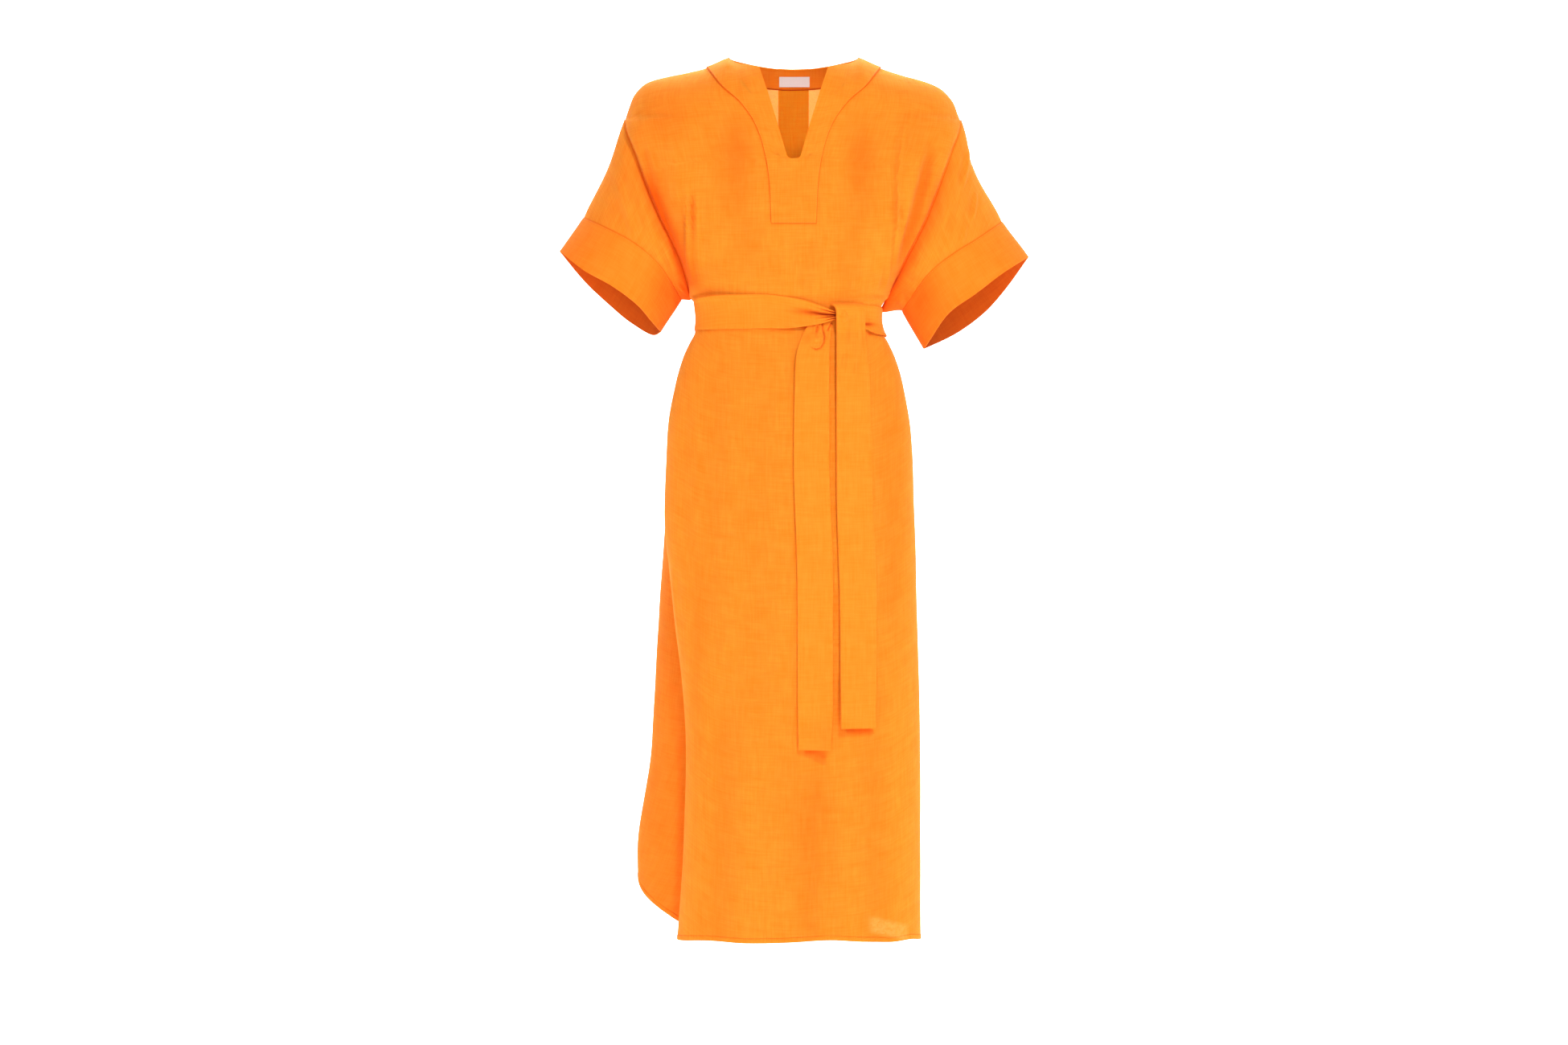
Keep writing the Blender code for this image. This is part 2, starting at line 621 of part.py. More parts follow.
def make_sleeve(collection, name):
    sign = SIDE_SIGN[name]
    front, back = bodice_rows("front", sign), bodice_rows("back", sign)
    down = [line[-1] for line in front]
    up = [line[-1] for line in reversed(back[1:-1])]
    top_z, low_z = down[0][2], down[-1][2]
    armhole = []
    for k, point in enumerate(down + up):
        out = 1 if k >= len(down) else -1
        t = (top_z - point[2]) / (top_z - low_z)
        step_back = ARMHOLE_STEP * min(abs(point[1]) / LAP_FROM, 1.0)
        armhole.append(((point[0], point[1] - out * step_back, point[2]), t, out))
    rows = CUFFS[name]

    def lens(t):
        return (4 * t * (1 - t)) ** 0.7

    def seam_point(t, out):
        x = table_at(rows, "seam_x", t, key="t")
        z = table_at(rows, "seam_z", t, key="t")
        if out > 0:
            x += SEAM_BACK_SHARE * (table_at(rows, "back_x", t, key="t") - table_at(rows, "end_x", t, key="t"))
            z += SEAM_BACK_SHARE * (table_at(rows, "back_z", t, key="t") - table_at(rows, "end_z", t, key="t"))
        return (x, out * CUFF_DEPTH * SEAM_DEPTH_SHARE * lens(t), z)

    def end_point(t, out):
        part = "back" if out > 0 else "end"
        return (table_at(rows, part + "_x", t, key="t"), out * CUFF_DEPTH * lens(t),
                table_at(rows, part + "_z", t, key="t"))

    sleeve, cuff = [], []
    for row in range(SLEEVE_ROWS + 1):
        share = row / SLEEVE_ROWS
        line = []
        for point, t, out in armhole:
            goal = seam_point(t, out)
            length = sqrt(sum((b - a) ** 2 for a, b in zip(point, goal)))
            lapped = ease((abs(point[1]) - LAP_FROM) / (LAPPED_DEPTH - LAP_FROM))
            start = mix(ARMHOLE_GAP, -ARMHOLE_LAP, lapped) / length
            x, y, z = (mix(a, b, mix(start, 1.0, share)) for a, b in zip(point, goal))
            y += out * SLEEVE_SWELL * sin(pi * share) * lens(t)
            x -= sign * OVERARM_DENT[name] * sin(pi * share) ** 2 * (1 - t) ** 4
            line.append((x, y, z))
        sleeve.append(line)
    for row in range(CUFF_ROWS + 1):
        share = row / CUFF_ROWS
        line = []
        for _, t, out in armhole:
            start, goal = seam_point(t, out), end_point(t, out)
            length = sqrt(sum((b - a) ** 2 for a, b in zip(start, goal)))
            share_here = mix(SEAM_GAP / length, 1.0, share)
            line.append(tuple(mix(a, b, share_here) for a, b in zip(start, goal)))
        cuff.append(line)
    if sign < 0:
        sleeve, cuff = turned(sleeve), turned(cuff)
    cloth(collection, "sleeve_" + name, turned(sleeve), CLOTH, "linen", closed=True)
    cloth(collection, "cuff_" + name, turned(cuff), DOUBLE_CLOTH, "linen_double", closed=True)


def middle_columns(rows, reach):
    """The columns of whole rows up to reach on both sides of the centre."""
    centre = len(rows[0]) // 2
    return [line[centre - 1 - reach:centre + reach + 1] for line in rows]


def make_bodice_and_skirt(collection):
    front, back = whole_panel("front"), whole_panel("back")
    cut_v(cloth(collection, "front", front, CLOTH, "linen"))
    cloth(collection, "back", turned(back), CLOTH, "linen")
    facing = middle_columns(front[:NECK_ROWS + 1], FACING_COLUMN)
    cut_v(cloth(collection, "front_facing", facing, TRIM_CLOTH, "linen", outward=1, lift=LAY_GAP))
    facing = turned(middle_columns(back[:BACK_FACING_ROWS + 1], len(BACK_INNER_X) - 1))
    cloth(collection, "back_facing", facing, TRIM_CLOTH, "linen_double", lift=-CLOTH - LAY_GAP)
    pleat = turned(middle_columns(back[:NECK_ROWS + CHEST_ROWS + 1], 1))
    cloth(collection, "back_pleat", pleat, CLOTH, "linen", outward=1, lift=LAY_GAP)


def make_label(collection):
    inward = CLOTH + TRIM_CLOTH + LAY_GAP + LABEL_CLEAR
    rows = []
    for z in (LABEL_TOP_Z, LABEL_TOP_Z - LABEL_HEIGHT / 2, LABEL_TOP_Z - LABEL_HEIGHT):
        line = []
        for k in range(LABEL_COLUMNS + 1):
            x = LABEL_X + LABEL_WIDTH * (k / LABEL_COLUMNS - 0.5)
            y = bodice_point("back", 1, abs(x), z)[1] - inward
            line.append((x, y, z))
        rows.append(line)
    cloth(collection, "label", turned(rows), TRIM_CLOTH, "label")


def dress_keys(panel, sign):
    """What names each column of half a panel below the bodice: a share, or a side step."""
    steps = FRONT_SIDE_COLUMNS if panel == "front" else BACK_SIDE_COLUMNS
    shares = [(panel, sign, share, 0) for share in panel_columns(panel)]
    return shares + [(panel, sign, 1.0, step) for step in range(1, steps)]


def dress_point(key, z):
    panel, sign, share, step = key
    if step:
        return (front_side_point if panel == "front" else back_side_point)(sign, step, z)
    return skirt_point(panel, sign, share, z)


def moved_out(line, distances):
    """Points of a line round the dress, moved out along its normals seen from above."""
    moved = []
    for k, (x, y, z) in enumerate(line):
        before, after = line[max(k - 1, 0)], line[min(k + 1, len(line) - 1)]
        along_x, along_y = after[0] - before[0], after[1] - before[1]
        length = sqrt(along_x ** 2 + along_y ** 2)
        moved.append((x + along_y / length * distances[k], y - along_x / length * distances[k], z))
    return moved


def belt_height(table, x, y, share):
    """Height of the belt at a place of the waist, share running from its top edge to its low edge."""
    top, low = table_at(table, "top", x, key="x"), table_at(table, "low", x, key="x")
    if y > 0:
        behind = ease(y / 0.08)
        top, low = mix(top, BELT_BACK_TOP, behind), mix(low, BELT_BACK_TOP - BELT_WIDTH, behind)
    return mix(top, low, share)


def make_belt_stretch(collection, name, keys, table):
    """One stretch round the waist. Towards the knot it narrows, stands off and falls into fans of creases."""
    rows = []
    for row in range(BELT_ROWS + 1):
        share = row / BELT_ROWS
        line, distances = [], []
        for key in keys:
            x, y, _ = dress_point(key, KNOT_Z)
            near = ease((x - KNOT_SWELL_X) / (KNOT_X - KNOT_SWELL_X)) if name == "belt" and y < 0 else 0.0
            line.append(dress_point(key, belt_height(table, x, y, share)))
            distances.append(BELT_CLEAR + near * (KNOT_LIFT + KNOT_CREASE * (-1) ** row))
        rows.append(moved_out(line, distances))
    cloth(collection, name, rows, DOUBLE_CLOTH, "linen_double", outward=1)


def make_belt(collection):
    front_right, back_right = dress_keys("front", -1), dress_keys("back", -1)
    front_left, back_left = dress_keys("front", 1), dress_keys("back", 1)
    width = half_width(1, KNOT_Z)
    to_knot = [key for key in front_left if key[2] * width < BELT_LONG_END_X - 0.006]
    to_knot.append(("front", 1, BELT_LONG_END_X / width, 0))
    back_end = ("back", 1, 1.0, BACK_SIDE_COLUMNS - SIDE_MEET)
    long_keys = to_knot[::-1] + front_right[1:] + back_right[::-1] + back_left[1:] + [back_end]
    make_belt_stretch(collection, "belt", long_keys[::-1], BELT_LONG)
    short_keys = [key for key in front_left if key[2] * width > BELT_SHORT_END_X]
    short_keys.append(("front", 1, 1.0, FRONT_SIDE_COLUMNS - SIDE_MEET))
    make_belt_stretch(collection, "belt_short", short_keys, BELT_SHORT)


def make_belt_end(collection, name):
    table = BELT_ENDS[name]
    levels = []
    for above, below, steps in zip(table, table[1:], BELT_END_STEPS[name]):
        levels += [mix(above.z, below.z, k / steps) for k in range(steps)]
    rows = []
    for z in levels + [table[-1].z]:
        left, right, lift = (table_at(table, column, z) for column in ("left", "right", "lift"))
        line = []
        for k in range(BELT_END_COLUMNS + 1):
            x = mix(left, right, k / BELT_END_COLUMNS)
            y = skirt_point("front", 1, x / side_values(1, z)[1], z)[1]
            line.append((x, y - lift, z))
        rows.append(line)
    cloth(collection, name, rows, DOUBLE_CLOTH, "linen_double", outward=1)


def make_knot(collection):
    waist_y = skirt_point("front", 1, KNOT_X / half_width(1, KNOT_Z), KNOT_Z)[1]
    bpy.ops.mesh.primitive_uv_sphere_add(segments=14, ring_count=8, radius=1.0)
    knot = bpy.context.object
    for vert in knot.data.vertices:
        vert.co = (vert.co.x * KNOT_SIZE[0], vert.co.y * KNOT_SIZE[1], vert.co.z * KNOT_SIZE[2])
    knot.name = knot.data.name = "belt_knot"
    knot.location = (KNOT_X + KNOT_SIZE[0] / 2 + 0.0015, waist_y - KNOT_OFF, KNOT_Z)
    knot.data.shade_smooth()
    knot.data.materials.append(material("belt_knot_cloth", "linen_double"))
    for owner in list(knot.users_collection):
        owner.objects.unlink(knot)
    collection.objects.link(knot)


def main():
    for thing in list(bpy.data.objects):
        bpy.data.objects.remove(thing, do_unlink=True)
    collection = bpy.data.collections.new("caftan")
    bpy.context.scene.collection.children.link(collection)
    make_bodice_and_skirt(collection)
    make_label(collection)
    make_sleeve(collection, "left")
    make_sleeve(collection, "right")
    make_belt(collection)
    make_knot(collection)
    for name in BELT_ENDS:
        make_belt_end(collection, name)


main()
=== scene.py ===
from collections import namedtuple
from functools import partial
from math import cos, log, pi, radians, sin

import bmesh
import bpy
import numpy as np
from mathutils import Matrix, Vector


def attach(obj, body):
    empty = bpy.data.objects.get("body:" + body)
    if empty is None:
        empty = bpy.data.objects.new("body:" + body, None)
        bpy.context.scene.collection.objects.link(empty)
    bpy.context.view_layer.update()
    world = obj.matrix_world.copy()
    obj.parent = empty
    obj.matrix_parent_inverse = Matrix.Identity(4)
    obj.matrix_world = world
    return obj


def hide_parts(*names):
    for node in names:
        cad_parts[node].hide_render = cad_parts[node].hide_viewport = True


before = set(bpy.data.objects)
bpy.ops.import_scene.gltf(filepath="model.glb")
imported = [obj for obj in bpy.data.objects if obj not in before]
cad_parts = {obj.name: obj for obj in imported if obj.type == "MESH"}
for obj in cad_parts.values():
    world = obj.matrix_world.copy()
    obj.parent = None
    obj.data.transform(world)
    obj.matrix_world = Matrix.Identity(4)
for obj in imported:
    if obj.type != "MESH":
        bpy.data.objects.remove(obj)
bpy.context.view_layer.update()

scene = bpy.context.scene
print("frame loaded:", len(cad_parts), "nodes")

# tables are rows of millimetres from the high shoulder points; these columns are plain numbers
plainColumns = {"t", "share", "opened", "amount"}


def table(fields, text):
    fields = fields.split()
    row = namedtuple("row", fields)
    scale = [1 if field in plainColumns else 1000 for field in fields]
    return [row(*(float(word) / by for word, by in zip(line.split(), scale))) for line in text.split(",")]


# a line of x and z with its width and lift, all in millimetres; a lift below zero is a trough
def crease(text, width, lift, **more):
    return dict(more, line=table("x z", text), width=width / 1000, lift=lift / 1000)


def shadowLine(text, width, amount):            # painted shadow: a narrow place kept dark by the cloth over it
    return crease(text, width, amount * 1000, fadeIn=0.15, fadeOut=0.15)


cut = {
    "vTopZ": -0.0196, "vTipZ": -0.156, "tabEndZ": -0.25,
    "shoulderEndZ": -0.09, "underarmZ": -0.349, "sideFoldZ": -0.6,
    "frontHemZ": -1.282, "backHemZ": -1.3, "hemNotch": 0.097, "skirtEndZ": -1.12,
    "neckHalf": 0.0945, "vTopHalf": 0.0495, "backNeckDrop": 0.0092, "vRoundZ": -0.1485,
    "frontNeckCurve": 0.38, "backNeckCurve": 1.5,
    "shoulderRound": 0.07, "neckStand": 0.9,
    "bodyPower": 2.35, "sideDepth": 0.036, "openEdgeY": -0.05, "openWrapY": 0.02,
    "tuck": 0.032, "roll": 0.007, "waistZ": -0.384, "skirtTopZ": -0.359, "waistEndZ": -0.44,
    "facingHalf": 0.033, "facingPanelHalf": 0.17, "shoulderHalf": 0.2485,
    "frontSide": 5, "backSide": 6,
}

bodyTable = table("z left right front back", """
    0 249 246.5 -78 66, -90 248.5 246 -89 90, -147 230 228.5 -96 102, -192 214 212 -102 109,
    -237 195 194.5 -107 111, -271 178 178 -108 109, -302 164 162 -107 104, -330 156 148.5 -104 98,
    -349 153 141 -101 92, -364 143 128.5 -97 87, -384 141 126.5 -96 86, -401 143 129 -97 87,
    -420 152 138.5 -102 94, -440 161 147.5 -106 101, -477 172 158.5 -111 111, -551 184.5 171 -117 122,
    -669 189 176 -120 126, -820 199 178 -121 126, -1016 210 179 -124 127, -1172 230 178.5 -128 130,
    -1300 226 178 -131 133""")

# the front's own side edges and how far each side fold has opened
frontEdge = table("z left right opened", """
    -600 187 174 0, -669 188.5 176.5 0.12, -750 181 178.5 0.45, -820 173.5 180 0.7, -920 162 182.5 0.92,
    -1016 157 184 1, -1172 161.5 184.5 1, -1300 171 185 1""")

# depth of the armhole seam in front of and behind the shoulder
armhole = table("z front back", """
    -90 0 0, -90.5 -8 8, -104 -22 24, -147 -45 50, -200 -58 64, -260 -60 66, -302 -48 54, -330 -28 32,
    -349 0 0""")

shoulder = table("x left right", """
    94.5 0 0, 128.5 -14.5 -15, 160 -22 -25.3, 188.8 -27.7 -33, 214 -35.2 -43.5, 233.5 -53 -63.5,
    246 -84.5 -90, 248.5 -90 -90""")

# half width of the V and of the facing round it
vEdge = table("z half", "-20.5 49.5, -57 37.8, -102 24, -148.5 10.8")
facingEdge = table("z half", "-19 128.5, -52 105, -75 79, -107 56.5, -140 44.5, -180 37, -210 34.5, -250 33")
facingShares = [(x - 0.0495) / (0.1285 - 0.0495) for x in (0.0495, 0.072, 0.0945, 0.1285)]
backInner = [0.0, 0.0225, 0.058, 0.0945, 0.1285]

# broad folds: a trough is above zero, a ridge below it
foldFields = "topX topZ lowX lowZ width depth"
frontFolds = table(foldFields, """
    -206 -140 -163 -325 11 6, -176 -130 -144 -335 11 -4, -120 -70 -62 -330 28 4.5,
    200 -130 160 -310 11 6, 168 -110 138 -330 11 -4, 118 -80 70 -330 26 4.5, 28 -260 12 -345 12 3,
    -110 -405 -125 -900 25 4, -50 -410 -60 -1000 30 3, 125 -410 142 -860 20 4, -100 -900 -110 -1290 24 6,
    30 -1020 20 -1290 26 5, 110 -930 120 -1290 24 5.5""")
backFolds = table(foldFields, """
    -110 -100 -60 -330 26 6, 115 -90 70 -330 24 5.5, -176 -140 -150 -330 12 6, 172 -130 142 -320 12 5.5,
    0 -415 4 -1290 22 11, -80 -410 -95 -1290 26 8, 85 -410 98 -1290 26 8, -140 -420 -150 -900 16 4""")


def mix(a, b, share):
    return a + (b - a) * share


def ease(share):
    share = np.clip(share, 0.0, 1.0)
    return share * share * (3 - 2 * share)


def tableAt(rows, column, at, key="z"):    # smooth value between the rows, with no overshoot
    keys = np.array([getattr(r, key) for r in rows], float)
    values = np.array([getattr(r, column) for r in rows], float)
    if keys[0] > keys[-1]:
        keys, values = keys[::-1], values[::-1]
    at = np.clip(np.asarray(at, float), keys[0], keys[-1])
    i = np.clip(np.searchsorted(keys, at, side="right") - 1, 0, len(keys) - 2)
    span = np.diff(keys)
    steps = np.diff(values) / span
    slope = np.zeros(len(keys))
    slope[0], slope[-1] = steps[0], steps[-1]
    for k in range(1, len(keys) - 1):
        if steps[k - 1] * steps[k] > 0:
            slope[k] = 2 / (1 / steps[k - 1] + 1 / steps[k])
    s = (at - keys[i]) / span[i]
    return (values[i] * (1 + 2 * s) * (1 - s) ** 2 + values[i + 1] * s * s * (3 - 2 * s)
            + span[i] * (slope[i] * s * (1 - s) ** 2 + slope[i + 1] * s * s * (s - 1)))


def halfWidth(sign, z):
    return tableAt(bodyTable, "left" if sign < 0 else "right", z)


def shoulderZ(sign, x):
    return tableAt(shoulder, "left" if sign < 0 else "right", np.abs(x), key="x")


def foldDepth(folds, x, z):
    total = 0.0
    for fold in folds:
        along = (fold.topZ - z) / (fold.topZ - fold.lowZ)
        centre = mix(fold.topX, fold.lowX, along)
        fade = ease((along + 0.1) / 0.35) * (ease((1.1 - along) / 0.3) if fold.lowZ > -1.2 else 1.0)
        total = total + fold.depth * fade * np.exp(-((x - centre) / fold.width) ** 2)
    return total * ease((np.abs(z - cut["waistZ"]) - 0.02) / 0.03)


def frontNeckZ(x):
    share = np.clip((cut["neckHalf"] - x) / (cut["neckHalf"] - cut["vTopHalf"]), 0.0, 1.0)
    return cut["vTopZ"] * share ** cut["frontNeckCurve"] * mix(0.75, 1.0, ease(share / 0.25))


def backNeckZ(x):
    return -cut["backNeckDrop"] * np.clip(1 - (x / cut["neckHalf"]) ** 2, 0.0, 1.0) ** cut["backNeckCurve"]


def vHalf(z):                              # half width of the V, with its narrow round end
    down = np.clip((cut["vRoundZ"] - z) / (cut["vRoundZ"] - cut["vTipZ"]), 0.0, 1.0)
    return tableAt(vEdge, "half", z) * np.sqrt(1 - down ** 2)


# inner columns are at fixed shares of the half width, outer ones close up towards the side
panels = {
    "front": dict(depth="front", folds=frontFolds, neckZ=frontNeckZ, out=-1, side=cut["frontSide"], columns=(3, 8),
                  inner=[cut["facingHalf"] / cut["facingPanelHalf"] * share for share in facingShares]),
    "back": dict(depth="back", folds=backFolds, neckZ=backNeckZ, out=1, side=cut["backSide"], columns=(4, 6),
                 inner=[x / cut["shoulderHalf"] for x in backInner]),
}


def shoulderRoll(sign, x, z, neckZ):       # 0 on the shoulder seam, 1 where the cloth hangs down
    stand = cut["neckStand"] * np.sqrt(np.clip(1 - (x / cut["neckHalf"]) ** 2, 0.0, 1.0))
    atNeck = neckZ(x) - z + cut["shoulderRound"] * (1 - np.sqrt(1 - stand ** 2))
    below = np.where(x >= cut["neckHalf"], shoulderZ(sign, x) - z, atNeck)
    share = np.clip(below / cut["shoulderRound"], 0.0, 1.0)
    return np.sqrt(1 - (1 - share) ** 2)


def squared(share):
    return (1 - np.clip(share, 0.0, 1.0) ** cut["bodyPower"]) ** (1 / cut["bodyPower"])


def bodicePoint(panel, sign, x, z):
    spec = panels[panel]
    edge = halfWidth(sign, z)
    edgeY = tableAt(armhole, spec["depth"], z)
    centreY = tableAt(bodyTable, spec["depth"], z)
    roll = shoulderRoll(sign, x, z, spec["neckZ"])
    y = edgeY + (centreY - edgeY) * squared(x / edge) * roll
    fadeOut = ease((edge - x) / 0.006)
    y = y - spec["out"] * foldDepth(spec["folds"], sign * x, z) * roll * fadeOut
    y = np.maximum(y, 0.0) if spec["out"] > 0 else np.minimum(y, 0.0)
    return np.stack(np.broadcast_arrays(sign * x, y, z), -1)


def sideValues(sign, z):
    side = halfWidth(sign, z)
    under = z < cut["sideFoldZ"]
    opened = np.where(under, tableAt(frontEdge, "opened", z), 0.0)
    edge = np.where(under, tableAt(frontEdge, "left" if sign < 0 else "right", z), side)
    return side, mix(side, edge, np.minimum(opened * 8, 1.0)), opened


def foldEdgeY(opened):
    return mix(-cut["sideDepth"], cut["openEdgeY"], opened)


def wrapStartY(opened):
    return mix(cut["sideDepth"], cut["openWrapY"], opened)


def skirtPoint(panel, sign, share, z):
    spec = panels[panel]
    side, edge, opened = sideValues(sign, z)
    width, endY = (edge, foldEdgeY(opened)) if panel == "front" else (side, wrapStartY(opened))
    x = width * share
    y = endY + (tableAt(bodyTable, spec["depth"], z) - endY) * squared(share)
    y = y - spec["out"] * foldDepth(spec["folds"], sign * x, z) * (1 - share ** 12)
    return np.stack(np.broadcast_arrays(sign * x, y, z), -1)


def frontSidePoint(sign, step, z):         # plain down to the fold, then rolled back and tucked in
    side, edge, opened = sideValues(sign, z)
    startY = foldEdgeY(opened)
    share = step / cut["frontSide"]
    plainX, plainY = mix(edge, side, share), mix(startY, 0.0, share)
    turn = pi / 2 * np.minimum(step / 3, 1.0)
    run = np.maximum(step - 3, 0.0) / (cut["frontSide"] - 3)
    foldedX = edge - cut["roll"] * (1 - np.cos(turn)) - (cut["tuck"] - cut["roll"]) * run
    foldedY = startY + cut["roll"] * np.sin(turn) + 0.0012 * run
    x, y = mix(plainX, foldedX, opened), mix(plainY, foldedY, opened)
    return np.stack(np.broadcast_arrays(sign * x, y, z), -1)


def backSidePoint(sign, step, z):          # plain down to the fold, then wrapped forward behind the front
    side, edge, opened = sideValues(sign, z)
    share = step / cut["backSide"]
    startY = wrapStartY(opened)
    tuckX = edge - cut["tuck"]
    tuckY = foldEdgeY(opened) + cut["roll"] + mix(0.004, 0.0012, share ** 6)
    turn = pi / 2 * share
    foldedX = tuckX + (side - tuckX) * np.cos(turn)
    foldedY = mix(startY, tuckY, np.sin(turn) ** 1.3)
    x, y = mix(side, foldedX, opened), mix(mix(startY, 0.0, share), foldedY, opened)
    return np.stack(np.broadcast_arrays(sign * x, y, z), -1)


frontHemLine = table("x z", """
    -172 -1287, -130 -1284, -70 -1286, 0 -1284.5, 55 -1281.5, 100 -1284.5, 140 -1286, 170 -1283.5,
    185 -1286""")
hemHalf = {-1: 0.171, 1: 0.185}
backHemRise = table("share rise", "0 0, 0.5 0, 0.62 8, 0.76 24, 0.831 36, 0.892 48, 0.937 60, 0.974 77, 1 97")


def hemZ(panel, sign, share, step):
    if panel == "front":
        return tableAt(frontHemLine, "z", sign * share * hemHalf[sign], "x")
    notch = cut["backHemZ"] + cut["hemNotch"]
    wrapped = mix(notch, cut["frontHemZ"] + 0.003, (step / cut["backSide"]) ** 0.95)
    broad = cut["backHemZ"] + tableAt(backHemRise, "rise", share, "share")
    return np.where(step > 0, wrapped, broad)


def columnShare(panel, c):                 # share of the half width at a column, fractions allowed
    (first, count), inner = panels[panel]["columns"], panels[panel]["inner"]
    turn = pi / 2 * np.clip((c - first) / count, 0.0, 1.0)
    outer = inner[-1] + (1 - inner[-1]) * np.sin(turn) ** 0.95
    return np.where(c <= first, np.interp(c, range(first + 1), inner), outer)


def columnX(panel, c, share, z, faceZ, edge, fullWidth, open_):
    first = panels[panel]["columns"][0]
    shares = columnShare(panel, c)
    last = columnShare(panel, np.array(float(first)))
    reach = (shares - last) / (1 - last)
    if panel == "front":
        face = tableAt(facingEdge, "half", faceZ)
        inner = np.where(open_, vHalf(z), 0.0)
        inFace = mix(inner, face, np.interp(c, range(4), facingShares))
        return np.where(c <= first, inFace, mix(face, edge, reach))
    down, narrow = ease(share * 2), edge / fullWidth
    inner = np.interp(c, range(5), backInner)
    inner = mix(inner, inner * mix(1.0, narrow, np.clip(c - 1, 0.0, 1.0)), down)
    start = mix(backInner[-1], backInner[-1] * narrow, down)
    return np.where(c <= first, inner, mix(start, edge, reach))


# a half panel is one grid of points, centre to side and neck to hem
def halfPanel(panel, sign, detail):
    spec = panels[panel]
    first, count = spec["columns"]
    c = np.concatenate([np.arange(0, first * detail["inner"]) / detail["inner"],
                        first + np.arange(0, count * detail["outer"] + 1) / detail["outer"]])
    steps = np.arange(1, spec["side"] * detail["side"] + 1) / detail["side"]
    broad = len(c)
    fullWidth = halfWidth(sign, 0.0)
    drop = cut["vTopZ"] - cut["tabEndZ"]
    tipShare, roundShare = ((cut["vTopZ"] - cut[end]) / drop for end in ("vTipZ", "vRoundZ"))
    power = log(tipShare) / log(9 / 13)
    upper = np.linspace(0, 1, detail["neckUpper"] + 1)[:-1] ** power * roundShare
    tip = roundShare + (tipShare - roundShare) * np.sin(np.linspace(0, pi / 2, detail["neckTip"] + 1)[:-1])
    lower = np.linspace(tipShare, 1, detail["neckLower"] + 1)
    share = np.concatenate([upper, tip, lower])
    neckRows, tipRow = len(share) - 1, len(upper) + len(tip)
    openRows = (np.arange(neckRows + 1) < tipRow)[:, None]
    topX = columnX(panel, c, np.array(0.0), np.array(cut["vTopZ"]), np.array(-0.0165),
                   halfWidth(sign, cut["shoulderEndZ"]), fullWidth, np.array(True))
    tops = np.where(topX < cut["neckHalf"] - 1e-6, spec["neckZ"](topX), shoulderZ(sign, topX))
    tops[-1] = cut["shoulderEndZ"]
    share = share[:, None]
    z = mix(tops[None, :], cut["tabEndZ"], share)
    faceZ, outerZ = mix(-0.019, cut["tabEndZ"], share), mix(cut["shoulderEndZ"], cut["tabEndZ"], share)
    x = columnX(panel, c[None, :], share, z, faceZ, halfWidth(sign, outerZ), fullWidth, openRows)
    top = bodicePoint(panel, sign, x, z)

    chestZ = np.linspace(cut["tabEndZ"], cut["underarmZ"], detail["chest"] + 1)[1:, None]
    x = columnX(panel, c[None, :], np.array(1.0), chestZ, chestZ, halfWidth(sign, chestZ), fullWidth,
                np.array(False))
    chest = bodicePoint(panel, sign, x, chestZ * np.ones_like(x))
    bodice = np.concatenate([top, chest])
    bodice = np.concatenate([bodice, np.repeat(bodice[:, -1:], len(steps), axis=1)], axis=1)

    skirtZ = np.concatenate([np.linspace(cut["skirtTopZ"], cut["waistEndZ"], detail["waist"] + 1),
                             np.linspace(cut["waistEndZ"], cut["skirtEndZ"], detail["skirt"] + 1)[1:]])[:, None]
    shares = columnShare(panel, c)[None, :]
    sidePoint = frontSidePoint if panel == "front" else backSidePoint
    hem = hemZ(panel, sign, np.concatenate([shares[0], np.ones(len(steps))]),
               np.concatenate([np.zeros(broad), steps]))
    band = detail["hemBand"] / (cut["skirtEndZ"] - hem)
    down = (np.arange(1, detail["hem"] + 1) / detail["hem"])[:, None]
    inBand = np.array([0.0, 0.08, 0.16, 0.4, 0.7, 0.9, 1.0])[:, None]
    down = np.concatenate([down * (1 - band[None, :] * 1.05), 1 - band[None, :] * (1 - inBand)])
    hemRows = mix(cut["skirtEndZ"], hem[None, :], down)
    zAll = np.concatenate([skirtZ * np.ones((1, broad + len(steps))), hemRows])
    skirt = np.concatenate([skirtPoint(panel, sign, shares, zAll[:, :broad]),
                            sidePoint(sign, steps[None, :], zAll[:, broad:])], axis=1)
    blend = np.arange(1, 5)[:, None, None] / 5
    between = mix(bodice[-1][None], skirt[0][None], ease(blend))
    between[:, :, 2] = mix(bodice[-1][None, :, 2], skirt[0][None, :, 2], blend[:, :, 0])
    rows = np.concatenate([bodice, between, skirt])
    marks = {"broad": broad, "neckRows": neckRows, "tipRow": tipRow, "bodiceRows": len(bodice),
             "facing": 3 * detail["inner"], "shares": share[:, 0]}
    return rows, marks


def lengthsAlong(points, axis):            # running length along a grid's rows or columns
    step = np.linalg.norm(np.diff(points, axis=axis), axis=-1)
    start = np.zeros_like(np.take(step, [0], axis=axis))
    return np.concatenate([start, np.cumsum(step, axis=axis)], axis=axis)


def runLength(points):
    return np.concatenate([[0.0], np.cumsum(np.linalg.norm(np.diff(points, axis=0), axis=1))])


def valuesAlong(at, run, values):          # points or normals at given lengths along a line
    return np.stack([np.interp(at, run, values[:, k]) for k in range(3)], -1)


def clothUv(points, originRow, sign=1.0):  # the cloth's own flat coordinates, across and along
    across = sign * lengthsAlong(points, 1)
    along = lengthsAlong(points, 0)
    along = along[originRow:originRow + 1] - along
    return np.stack([across, along], -1)


def unit(vectors):
    return vectors / np.maximum(np.linalg.norm(vectors, axis=-1, keepdims=True), 1e-12)


